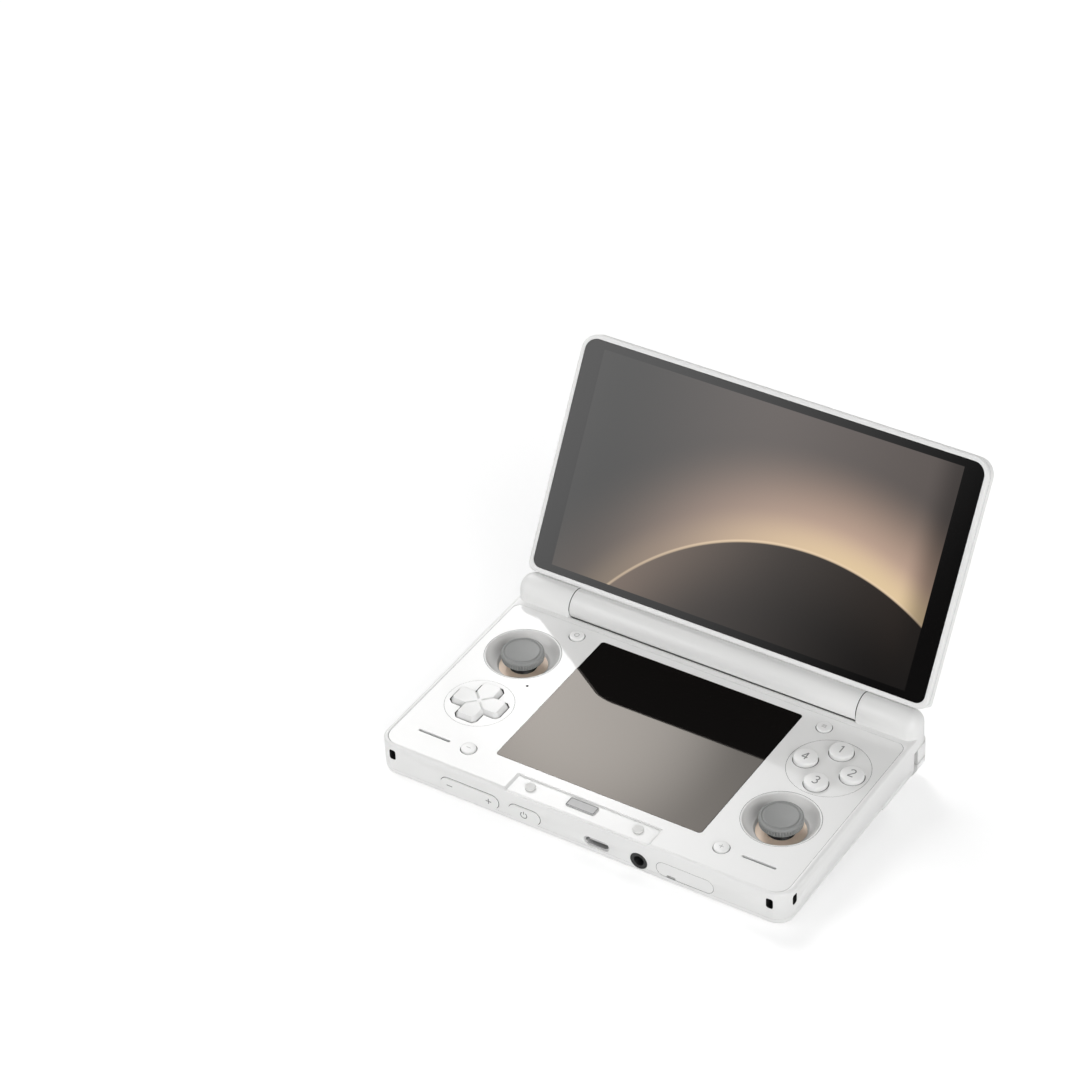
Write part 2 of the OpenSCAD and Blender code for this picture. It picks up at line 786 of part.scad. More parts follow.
// Cover with a nail notch, on a leg that stays in the case when it is pulled out.
module card_cover() stand() color("white") difference() {
    union() {
        on_front(card_x, front_z, 0, wall) pill(card_len, pill_h);
        on_front(card_x + card_len / 2 - 1.3, front_z, wall - 0.2, wall + 6)
            round_rect(1.1, 2.2, 0.3);
    }
    on_front(card_x - 5, front_z - pill_h / 2 + 0.2, -1, 0.7) pill(3.2, 1.4);
}

// Socket behind the cover, with a slot for one small memory card.
module card_slot() stand() color("silver") difference() {
    on_front(card_x, front_z, wall + 0.6, 17) square([13.6, 3], center = true);
    on_front(card_x, front_z, wall, 16) square([11.3, 1.0], center = true);
}

// Plan of a shoulder key: its outer rear corner is round, and its outer front corner
// is cut back, which leaves an open slot between it and the case.
module key_plan() {
    depth = rear_y + key_bulge - key_y0;
    translate([hump_x0, key_y0]) difference() {
        union() {
            square([hump_w - key_corner, depth]);
            square([hump_w, depth - key_corner]);
            translate([hump_w - key_corner, depth - key_corner]) circle(key_corner);
        }
        translate([hump_w - key_notch.x, -1]) square([key_notch.x + 1, key_notch.y + 1]);
    }
}

module shoulder(side) stand() color("white") on_side(side) difference() {
    intersection() {
        translate([0, 0, key_split + 0.2]) linear_extrude(key_top - key_split - 0.2) key_plan();
        translate([hump_x0 - 1, 0, 0]) rotate([90, 0, 90]) linear_extrude(hump_w + 2) polygon([
            [key_y0 - 1, key_top], [rear_y + 0.3, key_top],
            [rear_y + 1.3, key_split], [key_y0 - 1, key_split]
        ]);
    }
    translate([shoulder_pin.x, shoulder_pin.y, key_split - 1])
        cylinder(h = 20, r = key_pin_r + pin_fit);
}

module trigger(side) stand() color("white") on_side(side) difference() {
    low = hump_z - 0.8;
    intersection() {
        translate([0, 0, low - 1]) linear_extrude(key_split - 0.2 - low + 1) key_plan();
        translate([0, rear_y + 9, 0]) rotate([90, 0, 0]) linear_extrude(40)
            hump_section(hump_x0, hx, low, key_split + 1, 8.5);
        translate([hump_x0 - 1, 0, 0]) rotate([90, 0, 90]) linear_extrude(hump_w + 2) union() {
            translate([key_y0, low + 5]) square([rear_y + key_bulge - key_y0, 20]);
            translate([key_y0, low]) square([rear_y + key_bulge - key_y0 - 5, 20]);
            translate([rear_y + key_bulge - 5, low + 5]) circle(5);
        }
    }
    translate([hump_x0 - 1, trigger_pin.x, trigger_pin.y]) rotate([0, 90, 0])
        cylinder(h = hump_w - 3, r = key_pin_r + pin_fit);
}

module key_pins() stand() color("silver") for (side = [-1, 1]) on_side(side) {
    translate([shoulder_pin.x, shoulder_pin.y, key_split + 0.4])
        cylinder(h = key_top + 2.2 - key_split - 0.4, r = key_pin_r);
    trigger_axle(key_pin_r);
}

module badge_plate() stand() color("gray") translate([badge_at.x, badge_at.y, -recess_d])
    linear_extrude(0.45) round_rect(10.4, 3.9, 0.5);

module rubber_stops() stand() color("white") for (side = [-1, 1])
    translate([side * stop_x, stop_y, -recess_d]) cylinder(h = 0.8, r = 1.8);

module usb_port() stand() color("silver") difference() {
    union() {
        on_front(usb_x, usb_z, 0.5, 8) pill(usb_w, usb_h);
        on_front(usb_x, usb_z, 0.5, 1.2) pill(usb_w + 0.6, usb_h + 0.6);
    }
    difference() {
        on_front(usb_x, usb_z, -1, 7) pill(usb_w - 0.66, usb_h - 0.66);
        on_front(usb_x, usb_z, 1.4, 8) pill(usb_w - 2.4, 0.7);
    }
}

module headphone_jack() stand() color("black") difference() {
    union() {
        on_front(jack_x, jack_z, 0.1, wall + 0.5) circle(jack_r + 1.3);
        on_front(jack_x, jack_z, wall + 0.5, 13.5) square([6.4, 5.4], center = true);
    }
    on_front(jack_x, jack_z, -1, 12.6) circle(jack_r);
}

module speakers() stand() color("dimgray") for (side = [-1, 1])
    translate([side * slot_x, slot_y, web_z - 3.2]) linear_extrude(3.2) round_rect(14.5, 7, 1.2);

// Pads under the front corners and the humps, cut level with what the console stands on.
module feet() color("lightgray") difference() {
    stand() for (x = [-foot_x, foot_x]) {
        translate([x, foot_front, under_z - 2 * foot_t]) cylinder(h = 2 * foot_t, r = foot_r);
        translate([x, foot_rear, hump_z - 2 * foot_t]) cylinder(h = 2 * foot_t, r = foot_r);
    }
    translate([-body_w, -body_w, -5]) cube([2 * body_w, 2 * body_w, 5]);
}

module case_screws() stand() color("silver") screw_places() union() {
    translate([0, 0, under_z + 0.1]) cylinder(h = 0.7, r = screw_head_r);
    translate([0, 0, under_z + 0.1]) cylinder(h = board_z - under_z, r = screw_r);
}

module hinge_pins() stand() color("silver") for (side = [-1, 1]) on_side(side)
    translate([barrel_x - pin_reach, hinge_y, hinge_z]) rotate([0, 90, 0])
        cylinder(h = pin_reach + lug_w - wall - 1, r = pin_r);

module lid_slab(w0, w1, rt, rb) {
    difference() {
        translate([0, lid_low, w0])
            half_slab(hx, lid_high - lid_low, lid_corner_r, w1 - w0, rt, rb);
        for (side = [-1, 1]) on_side(side)
            translate([hx - lid_low_r, lid_low + lid_low_r, w0 - 1])
                linear_extrude(w1 - w0 + 2) difference() {
                    translate([0, -lid_low_r - 1]) square(lid_low_r + 1);
                    circle(lid_low_r);
                }
    }
}

module lid_back() stand() open_lid() color("white") difference() {
    lid_slab(lid_back_w, lid_face - frame_t - seam, 0, lid_r);
    translate([0, 0, lid_back_w + wall]) linear_extrude(lid_t)
        outline(hx - wall - 1.2, lid_low + wall, lid_high - wall - 1.2, 2, lid_corner_r - 2);
    translate([-barrel_x - 0.2, -1, -hinge_r - 0.1])
        cube([2 * barrel_x + 0.4, lid_low + wall + 2, hinge_r + 1]);
}

module lid_frame() stand() open_lid() color("white") difference() {
    union() {
        lid_slab(lid_face - frame_t, lid_face, deck_r / 2, 0);
        translate([-barrel_x, 0, 0]) rotate([0, 90, 0]) cylinder(h = 2 * barrel_x, r = hinge_r);
        translate([-barrel_x, 0, -hinge_r])
            cube([2 * barrel_x, lid_low + wall, hinge_r + lid_face - 0.6]);
    }
    translate([0, 0, lid_face - glass_t - 0.1]) linear_extrude(5)
        outline(glass_x + fit, glass_low - fit, glass_high + fit, 3, lid_corner_r - rim);
    translate([0, (glass_low + glass_high) / 2, -3]) linear_extrude(6)
        round_rect(up_w + 3, up_h + 2, 1);
    for (side = [-1, 1]) on_side(side)
        translate([barrel_x - pin_reach - 1, 0, 0]) rotate([0, 90, 0])
            cylinder(h = pin_reach + 2, r = pin_r + pin_fit);
    cover_bed(fit);
}

// Arc behind the barrel that the cover plate fills.
module cover_bed(grow) {
    translate([-cover_x - grow, 0, 0]) rotate([0, 90, 0]) rotate(-30 - grow)
        rotate_extrude(angle = cover_turn + 2 * grow)
            translate([hinge_r - cover_t - grow, 0]) square([cover_t + 2 * grow, 2 * cover_x + 2 * grow]);
}

module barrel_cover() stand() open_lid() color("white")
    translate([-cover_x, 0, 0]) rotate([0, 90, 0]) rotate(-30)
        rotate_extrude(angle = cover_turn) translate([hinge_r - cover_t, 0])
            square([cover_t, 2 * cover_x]);

module lid_glass() stand() open_lid() color("black")
    translate([0, 0, lid_face - 0.05 - glass_t]) linear_extrude(glass_t)
        outline(glass_x, glass_low, glass_high, 3 - fit, lid_corner_r - rim - fit);

module upper_panel() stand() open_lid() color("dimgray")
    translate([0, (glass_low + glass_high) / 2, lid_face - glass_t - 0.15 - panel_t])
        linear_extrude(panel_t) square([up_w, up_h], center = true);

upper_case();
lower_case();
faceplate();
lower_glass();
lower_panel();
main_board();
battery();
heat_spreader();
fan_housing();
fan_impeller();
well(-1);  // left_well
well_floor(-1);  // left_well_floor
stick_housing(-1);  // left_stick_housing
stick_frame(-1);  // left_stick_frame
stick_yoke(-1);  // left_stick_yoke
stick_shaft(-1);  // left_stick_shaft
stick_cap(-1);  // left_stick_cap
well(1);  // right_well
well_floor(1);  // right_well_floor
stick_housing(1);  // right_stick_housing
stick_frame(1);  // right_stick_frame
stick_yoke(1);  // right_stick_yoke
stick_shaft(1);  // right_stick_shaft
stick_cap(1);  // right_stick_cap
pad_insert();
pad_yoke();
direction_pad();
button_insert();
face_button(0);  // button_east
face_button(1);  // button_north
face_button(2);  // button_west
face_button(3);  // button_south
small_button(-1, small_back);  // small_back_left
small_button(1, small_back);  // small_back_right
small_button(-1, small_front);  // small_front_left
small_button(1, small_front);  // small_front_right
membrane(-1);  // left_membrane
membrane(1);  // right_membrane
volume_rocker();
power_button();
shoulder(-1);  // left_shoulder
shoulder(1);  // right_shoulder
trigger(-1);  // left_trigger
trigger(1);  // right_trigger
key_pins();
badge_plate();
rubber_stops();
usb_port();
headphone_jack();
card_cover();
card_slot();
speakers();
feet();
case_screws();
hinge_pins();
lid_back();
lid_frame();
lid_glass();
upper_panel();
barrel_cover();
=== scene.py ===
"""Looks of a white clamshell handheld console, open on a pale table.

Sizes are in millimetres in the deck's own frame, in which the deck is z = 0, +X is the
player's right and +Y runs towards the hinge. stand() puts such points into the row frame.
Lid pieces use (x, v, w): v runs up the lid from the hinge axis and w towards the player.
"""
import json
import math
import bmesh
import bpy
import numpy as np
from mathutils import Matrix, Vector
from mathutils.bvhtree import BVHTree


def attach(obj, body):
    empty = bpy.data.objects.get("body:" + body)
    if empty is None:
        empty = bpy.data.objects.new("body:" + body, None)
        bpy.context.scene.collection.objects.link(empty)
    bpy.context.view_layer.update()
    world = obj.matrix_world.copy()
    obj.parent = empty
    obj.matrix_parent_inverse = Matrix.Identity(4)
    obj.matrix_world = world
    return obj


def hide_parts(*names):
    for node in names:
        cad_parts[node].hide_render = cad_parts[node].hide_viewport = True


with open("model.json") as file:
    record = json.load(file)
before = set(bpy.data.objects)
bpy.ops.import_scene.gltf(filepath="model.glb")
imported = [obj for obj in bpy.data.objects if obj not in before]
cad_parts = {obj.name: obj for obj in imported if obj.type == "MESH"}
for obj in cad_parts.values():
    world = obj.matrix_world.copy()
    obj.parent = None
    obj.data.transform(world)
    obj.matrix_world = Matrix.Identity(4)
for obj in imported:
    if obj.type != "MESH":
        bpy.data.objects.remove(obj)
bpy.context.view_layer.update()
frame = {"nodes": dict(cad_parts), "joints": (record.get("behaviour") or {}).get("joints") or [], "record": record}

MM = 0.001
joint = {j["name"]: j for j in frame["joints"]}
body_of = {n: b for b, group in frame["record"]["behaviour"]["bodies"].items() for n in group}

# The deck's frame, from the power key's travel and the hinge's place
HINGE_Y, HINGE_Z = 45.6, 3.0
TILT_COS, TILT_SIN = joint["power_press"]["axis"][1:]
HINGE_ROW = np.array(joint["lid_hinge"]["pos_m"]) / MM
SLIDE_Y = HINGE_ROW[1] - (HINGE_Y * TILT_COS - HINGE_Z * TILT_SIN)
RISE = HINGE_ROW[2] - (HINGE_Y * TILT_SIN + HINGE_Z * TILT_COS)
LEAN = math.radians(60)


def stand(x, y, z):
    """Deck millimetres to row metres: a turn about X by the tilt, then the shift."""
    x, y, z = np.broadcast_arrays(x, y, z)
    row = [x, y * TILT_COS - z * TILT_SIN + SLIDE_Y, y * TILT_SIN + z * TILT_COS + RISE]
    return np.stack(row, axis=-1) * MM


def lid_at(x, v, w):
    """Lid millimetres to row metres: v and w turn about the hinge axis by the lean."""
    y = HINGE_Y + v * math.cos(LEAN) - w * math.sin(LEAN)
    z = HINGE_Z + v * math.sin(LEAN) + w * math.cos(LEAN)
    return stand(x, y, z)


# Camera in the deck's frame, fitted to the photograph's screens, wells, keys and edges
CAMERA_AT = (467.437, -744.622, 757.657)
CAMERA_RIGHT = (0.84386598, 0.53513797, -0.03895586)
CAMERA_UP = (-0.30054889, 0.53158565, 0.79188829)
CAMERA_BACK = (0.44447787, -0.65653944, 0.60942217)
FOCAL_PIXELS = 3633.935
FRAME_PIXELS = 1080
SENSOR_WIDTH = 36.0


def turned(direction):
    """A deck direction in the row frame."""
    x, y, z = direction
    return Vector((x, y * TILT_COS - z * TILT_SIN, y * TILT_SIN + z * TILT_COS))


def make_camera():
    """The fitted camera, its place and axes turned into the row frame."""
    data = bpy.data.cameras.new("camera")
    data.sensor_width = SENSOR_WIDTH
    data.lens = FOCAL_PIXELS / FRAME_PIXELS * SENSOR_WIDTH
    data.clip_start, data.clip_end = 0.05, 50.0
    camera = bpy.data.objects.new("camera", data)
    bpy.context.scene.collection.objects.link(camera)
    pose = Matrix.Identity(4)
    for column, axis in enumerate((CAMERA_RIGHT, CAMERA_UP, CAMERA_BACK)):
        pose.col[column][:3] = turned(axis)
    pose.col[3][:3] = Vector(stand(*CAMERA_AT))
    camera.matrix_world = pose
    bpy.context.scene.camera = camera


make_camera()
bpy.context.scene.view_settings.view_transform = "Standard"


def linear(hex_colour):
    """An sRGB hex colour as linear RGBA."""
    parts = [int(hex_colour[k:k + 2], 16) / 255 for k in (1, 3, 5)]
    curve = [p / 12.92 if p <= 0.04045 else ((p + 0.055) / 1.055) ** 2.4 for p in parts]
    return (*curve, 1.0)


class Nodes:
    """Adds nodes to one tree, with their settings and links."""

    def __init__(self, tree):
        self.tree = tree
        tree.nodes.clear()

    def add(self, kind, links=None, values=None, **settings):
        """Adds a node: settings are its properties, values its sockets' numbers, links their sources."""
        node = self.tree.nodes.new(kind)
        for name, value in settings.items():
            setattr(node, name, value)
        for name, value in (values or {}).items():
            node.inputs[name].default_value = value
        for name, source in (links or {}).items():
            self.tree.links.new(source, node.inputs[name])
        return node


# Refraction of plastic, paint and glass, which is also the default that a metal keeps
IOR = 1.5
# Depth of the grain of a material, in mm, before its strength
GRAIN_DEPTH = 0.02


def plastic(name, colour, roughness, mottle_mm=15.0, mottle=0.0, grain_mm=0.12, grain=0.02,
            metallic=0.0, tint=None):
    """An even colour with a faint mottle, a roughness that wavers a tenth each way and a fine grain."""
    material = bpy.data.materials.new(name)
    material.use_nodes = True
    n = Nodes(material.node_tree)
    place = n.add("ShaderNodeTexCoord").outputs["Object"]
    wide = n.add("ShaderNodeTexNoise", {"Vector": place}, {"Scale": 1 / (mottle_mm * MM), "Detail": 3.0})
    rough = n.add("ShaderNodeMapRange", {"Value": wide.outputs["Fac"]},
                  {"To Min": roughness * 0.9, "To Max": roughness * 1.1})
    links = {"Roughness": rough.outputs["Result"]}
    values = {"IOR": IOR, "Metallic": metallic}
    if mottle:
        tone = n.add("ShaderNodeMix", {"Factor": wide.outputs["Fac"]}, data_type="RGBA")
        tone.inputs["A"].default_value = linear(colour)
        tone.inputs["B"].default_value = (*(c * (1 - mottle) for c in linear(colour)[:3]), 1.0)
        links["Base Color"] = tone.outputs["Result"]
    else:
        values["Base Color"] = linear(colour)
    if grain:
        fine = n.add("ShaderNodeTexNoise", {"Vector": place}, {"Scale": 1 / (grain_mm * MM), "Detail": 2.0})
        bump = n.add("ShaderNodeBump", {"Height": fine.outputs["Fac"]},
                     {"Strength": grain, "Distance": GRAIN_DEPTH * MM})
        links["Normal"] = bump.outputs["Normal"]
    if tint:
        values["Specular Tint"] = linear(tint)
    shader = n.add("ShaderNodeBsdfPrincipled", links, values)
    n.add("ShaderNodeOutputMaterial", {"Surface": shader.outputs["BSDF"]})
    return material


# Moulded ABS from a finely sparked tool: an even satin white that shows no grain from a step away
CASE = plastic("moulded_white_abs", "#e9e9e8", 0.34, mottle_mm=18, mottle=0.012, grain=0.05)
# Polished polycarbonate: as white as the case, but it mirrors the lid sharply
DECK = plastic("polished_white_polycarbonate", "#e9e9e8", 0.05, mottle_mm=25, mottle=0.008, grain=0.0)
# Smooth moulded ABS: soft highlights on the keys' round shoulders
KEY = plastic("smooth_white_abs", "#ebebea", 0.2, mottle_mm=9, mottle=0.01)
# The bowls' ABS, a little greyer and glossier, so that the light runs round them
WELL = plastic("glossy_white_abs", "#e4e4e3", 0.24, mottle_mm=12, mottle=0.01)
# Moulded rubber: a dull mid grey whose fine grain takes the shine off
CAP = plastic("moulded_grey_rubber", "#909190", 0.45, mottle_mm=2, mottle=0.05, grain_mm=0.2, grain=0.3)
# Turned nylon: a near black with a broad soft highlight
DOME = plastic("black_nylon", "#0c0c0c", 0.35)
# Moulded beige ABS on the wells' floors: a warm ring round the sticks
FLOOR_RING = plastic("moulded_beige_abs", "#ffe9d4", 0.5, mottle_mm=4, mottle=0.04)
# Black ABS of the inner pieces: dull and dark where an opening shows it
INNER = plastic("black_inner_abs", "#0d0d0e", 0.5)
# Painted shade: a near black with no shine at all, put in seams, slots and holes where the shade falls
PAINTED_SHADE = plastic("seam_shade", "#060606", 0.9, grain=0.0)
# Soft silicone of the stops and feet: pale and dull
RUBBER = plastic("pale_silicone", "#e4e4e2", 0.5, mottle_mm=3, mottle=0.03)
# Pad-printed ink: a flat grey
MARK = plastic("grey_pad_print", "#7c7c7c", 0.5)
# Woven mesh behind the speaker slots, too fine to show its threads: a flat grey
SLOT_FLOOR = plastic("grey_speaker_mesh", "#77777a", 0.6)
# Coated cover glass: black, with clear and slightly warm reflections
GLASS = plastic("black_cover_glass", "#060505", 0.02, grain=0.0, tint="#fff3e6")
# Painted badge plate: a satin grey with a faint cloud, and a darker line let into its edge
BADGE = plastic("grey_satin_paint", "#b9b9b9", 0.3, mottle_mm=1.2, mottle=0.08)
BADGE_LINE = plastic("dark_grey_paint", "#6a6a6a", 0.4)
# Nickel-plated steel: a soft grey metal in the sockets
STEEL = plastic("nickel_plated_steel", "#c8c8c8", 0.3, metallic=1.0)

# The lid's display: half its width, and its lower and upper edge up the lid, in mm
DISPLAY = (66.4, 9.45, 84.15)
# The ring in its picture: centre (x, v) and radius
RING_AT, RING_R = (24.0, -46.0), 88.0
# How far the picture's rim blurs into the black glass
PICTURE_RIM = 0.12


def lit_display():
    """Cover glass over a lit display: a lit box in the lid's plane, black glass round it.

    The picture is a plain one: a large ring whose edge glows beige, a haze outside it that grows paler to
    the right, and a shade inside it that grows darker to the right.
    With x and v the lid's plane in mm, d = |(x, v) - centre| - radius is the distance outside the ring.
    """
    material = bpy.data.materials.new("lit_cover_glass")
    material.use_nodes = True
    n = Nodes(material.node_tree)
    place = n.add("ShaderNodeTexCoord").outputs["Object"]
    origin = Vector(lid_at(0, 0, 0))
    up = Vector(lid_at(0, 1, 0)) - origin

    def maths(operation, a, b=0.0):
        """One arithmetic step on two values, each a socket or a number."""
        links = {k: v for k, v in ((0, a), (1, b)) if not isinstance(v, (int, float))}
        values = {k: v for k, v in ((0, a), (1, b)) if isinstance(v, (int, float))}
        return n.add("ShaderNodeMath", links, values, operation=operation).outputs[0]

    def ramp(value, low, high, start=0.0, stop=1.0):
        """A smooth step from start, where value is low, to stop, where it is high."""
        return n.add("ShaderNodeMapRange", {"Value": value},
                     {"From Min": low, "From Max": high, "To Min": start, "To Max": stop},
                     interpolation_type="SMOOTHSTEP").outputs["Result"]

    def mix(factor, a, b):
        """Colour a where factor is 0, b where it is 1: each a socket or a hex colour."""
        node = n.add("ShaderNodeMix", {"Factor": factor}, data_type="RGBA")
        for socket, colour in (("A", a), ("B", b)):
            if isinstance(colour, str):
                node.inputs[socket].default_value = linear(colour)
            else:
                n.tree.links.new(colour, node.inputs[socket])
        return node.outputs["Result"]

    moved = n.add("ShaderNodeVectorMath", {0: place}, {1: origin}, operation="SUBTRACT").outputs["Vector"]
    x, v = [n.add("ShaderNodeVectorMath", {0: moved}, {1: axis / MM},
                  operation="DOT_PRODUCT").outputs["Value"]
            for axis in (Vector((1, 0, 0)), up.normalized())]
    across, along = maths("SUBTRACT", x, RING_AT[0]), maths("SUBTRACT", v, RING_AT[1])
    d = maths("SUBTRACT", maths("SQRT", maths("ADD", maths("MULTIPLY", across, across),
                                              maths("MULTIPLY", along, along))), RING_R)
    haze = mix(ramp(x, -62, 10), "#1f1f1e", "#5a5350")
    shade = mix(ramp(x, -60, 60), "#3a322d", "#151312")
    outside = ramp(d, -0.15, 0.15)
    ground = mix(outside, shade, haze)
    # A wide and a narrow glow outside the ring, both stronger to the right
    strength = ramp(x, -60, 42, 0.12, 1.0)
    glow = maths("MULTIPLY", maths("MULTIPLY", ramp(d, 34, 0), outside), strength)
    warm = mix(glow, ground, "#c9ab97")
    deep = maths("MULTIPLY", maths("MULTIPLY", ramp(d, 12, 0), outside), ramp(x, -30, 50, 0.1, 0.9))
    hot = mix(deep, warm, "#e2c9a0")
    # A faint light inside the ring, stronger to the left, then the ring's bright edge
    inside = maths("MULTIPLY", maths("MULTIPLY", ramp(d, -26, 0), maths("SUBTRACT", 1.0, outside)),
                   ramp(x, 20, -60, 0.05, 0.5))
    lower = mix(inside, hot, "#8c7768")
    edge = maths("MULTIPLY", ramp(maths("ABSOLUTE", d), 0.7, 0.1), ramp(x, -66, 20, 0.35, 0.8))
    picture = mix(edge, lower, "#e9cfae")
    # The picture darkens at its right end, has a dark line at its left end, and is lit only in its box
    fade = mix(maths("MULTIPLY", ramp(x, 55, 66), 0.55), picture, "#141313")
    half_w, low, high = DISPLAY
    lit = maths("MULTIPLY", ramp(maths("ABSOLUTE", x), half_w, half_w - PICTURE_RIM),
                maths("MULTIPLY", ramp(v, low, low + PICTURE_RIM), ramp(v, high, high - PICTURE_RIM)))
    line = maths("MULTIPLY", ramp(maths("ABSOLUTE", maths("ADD", x, half_w)), 0.3, 0.1), 0.6)
    colour = mix(lit, "#000000", mix(line, fade, "#0a0a0a"))
    smudge = n.add("ShaderNodeTexNoise", {"Vector": place}, {"Scale": 40.0, "Detail": 2.0})
    rough = n.add("ShaderNodeMapRange", {"Value": smudge.outputs["Fac"]}, {"To Min": 0.015, "To Max": 0.03})
    # The lower glass doesn't mirror the picture, as in the photograph
    shown = maths("SUBTRACT", 1.0, n.add("ShaderNodeLightPath").outputs["Is Glossy Ray"])
    shader = n.add("ShaderNodeBsdfPrincipled",
                   {"Emission Color": colour, "Emission Strength": shown,
                    "Roughness": rough.outputs["Result"]},
                   {"Base Color": linear("#060505"), "IOR": IOR})
    n.add("ShaderNodeOutputMaterial", {"Surface": shader.outputs["BSDF"]})
    return material


LIT_GLASS = lit_display()

MATERIAL = {
    "case_white": CASE, "deck_white": DECK, "key_white": KEY, "glass_black": GLASS, "display": INNER,
    "stick_grey": CAP, "inner_black": INNER, "floor_beige": FLOOR_RING, "inner_grey": INNER,
    "steel": STEEL, "copper": STEEL, "board": INNER, "cell": INNER, "soft_rubber": RUBBER,
    "badge_grey": BADGE,
}
slot_of = {s["node"]: s["material_slot"] for s in frame["record"]["subparts"]}
for name, obj in frame["nodes"].items():
    obj.data.materials.clear()
    obj.data.materials.append(MATERIAL[slot_of[name]])

# The case, in deck millimetres: its faces, the height of its seam, and where the shoulder keys begin
HALF_X, FRONT_Y, REAR_Y, SPLIT_Z, KEYS_Y = 75.0, -42.2, 50.7, -10.4, 40.6
# The deck's plate, its front recess, and its openings
PLATE_X, PLATE_FRONT, PLATE_REAR, PLATE_LOW = 73.4, -41.3, 38.6, -2.1
RECESS_X, RECESS_SLOPE, RECESS_D = 25.9, 0.8, 0.7
PLATE_CORNERS = (5.1, 3)
MIC_AT, MIC_R = (-47.1, 3.9), 0.43
# The speakers' slots: centre, length and width, and the height of the mesh in them
SPEAKER_AT, SPEAKER_SLOT, SPEAKER_LOW = (59.7, -31.75), (12.16, 0.96), -0.75
# The badge: centre, half its length and width, and its height above the recess
BADGE_AT, BADGE_HALF, BADGE_UP = (-0.9, -36.6), (5.2, 1.95), 0.46
# The barrel between the lugs, and the channel before it, whose shade is a painted dark band
BARREL_X, HINGE_R, CHANNEL_R = 53.9, 5.1, 5.12
# Painted shade lines in the deck's seams, and painted shade in the slots round the keys in it: half their width,
# and their height
SEAM, KEY_SLOT = (0.11, -0.05), (0.13, -0.12)
# How far a round key's wall stands inside its radius, and the middle of its slot outside it
KEY_IN, SLOT_OUT = 0.04, 0.12
# How deep the painted shade lines in the case's seams lie, and where the headphone socket breaks the lower one
SEAM_IN, JACK_SPAN = 0.035, (20.3, 25.3)
# The slots before the shoulder keys: along Y, along Z, and how far in their floor of painted shade stands
CORNER_Y, CORNER_Z, CORNER_IN = (41.05, 42.6), (-16.0, -5.0), 2.6
# The cord holes in the front corners: centre (x, z), then half width, half height and corner radius, then
# how deep their walls of painted shade begin and end
CORD_AT, CORD_HOLE, CORD_WALL = (69.2, -4.4), (1.18, 1.93, 0.78), (0.12, 4.6)
# The lid, up from the hinge axis, and where along w the seam in its side runs
LID_LOW, LID_HIGH, LID_SEAM_W = 5.3, 88.2, -1.23
# Centres on the deck, radii, and heights above it
STICKS = {"left": (-57.2, 17.0), "right": (55.9, -11.1)}
WELL_R, WELL_LOW = 12.85, -4.8
PAD_AT, PAD_R, PAD_GAP, PAD_LOW = (-55.9, -11.1), 11.5, 0.5, -3.0
PAD_HALF, PAD_REACH, PAD_CHAMFER = 3.9, 9.2, 1.2
KEYS_AT, KEYS_R = (57.2, 17.0), 13.6
KEY_PITCH, KEY_R, KEY_UP = 8.35, 4.0, 1.6
KEY_TURNS = {"button_north": math.pi / 2, "button_east": 0.0, "button_south": -math.pi / 2,
             "button_west": math.pi}
SMALL_X, SMALL_BACK, SMALL_FRONT, SMALL_R, SMALL_UP = 46.5, 33.5, -31.8, 2.6, 0.65
# The stick caps, whose ribs are fewer and coarser than real ones, so that they show
CAP_R, CAP_TOP, CAP_LOW, CAP_RIBS = 7.1, 1.4, -2.0, 48
# Keys on the front face: the height of their middle, their own height, and each one's middle and width
FRONT_Z, PILL_H = -7.6, 5.2
FRONT_PILLS = {"volume_rocker": (-39.75, 21.8), "power_button": (-19.1, 11.6), "card_cover": (39.4, 20.4)}
SHOULDER_X, SHOULDER_Z = 62.0, {"shoulder": -7.8, "trigger": -13.6}
X_AXIS, Y_AXIS, Z_AXIS = (1, 0, 0), (0, 1, 0), (0, 0, 1)
ENDS = (("left", -1), ("right", 1))


def link(name, mesh, material, body, smooth=True):
    """Makes a piece of a mesh, gives it its material and lets it ride on its body."""
    obj = bpy.data.objects.new(name, mesh)
    bpy.context.scene.collection.objects.link(obj)
    mesh.materials.clear()
    mesh.materials.append(material)
    mesh.polygons.foreach_set("use_smooth", np.array(np.broadcast_to(smooth, len(mesh.polygons))))
    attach(obj, body)
    return obj


# Angles between two faces: below MERGED they become one face, from SLIGHT to CLEAR they belong to a curved
# wall, and above ROUNDED their edge is rounded
MERGED, SLIGHT, CLEAR, ROUNDED = np.radians([0.6, 0.7, 20, 28]).tolist()


def finished(node, bevel_mm, material=None):
    """A CAD node's copy with its triangles merged into faces and its edges rounded.

    A face that meets no neighbour at a slight angle is a flat one, and is shaded flat.
    """
    source = frame["nodes"][node]
    mesh = source.data.copy()
    mesh.name = node + "_finished"
    work = bmesh.new()
    work.from_mesh(mesh)
    bmesh.ops.remove_doubles(work, verts=work.verts, dist=1e-6)
    bmesh.ops.dissolve_limit(work, angle_limit=MERGED, verts=work.verts, edges=work.edges)
    curved = [any(SLIGHT < edge.calc_face_angle(0.0) < CLEAR for edge in face.edges) for face in work.faces]
    work.to_mesh(mesh)
    work.free()
    obj = link(node + "_finished", mesh, material or MATERIAL[slot_of[node]],
               body_of[node], smooth=curved)
    edge = obj.modifiers.new("edge", "BEVEL")
    edge.width = bevel_mm * MM
    edge.segments = 2
    edge.limit_method = "ANGLE"
    edge.angle_limit = ROUNDED
    edge.use_clamp_overlap = True
    edge.harden_normals = True
    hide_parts(node)
    return obj


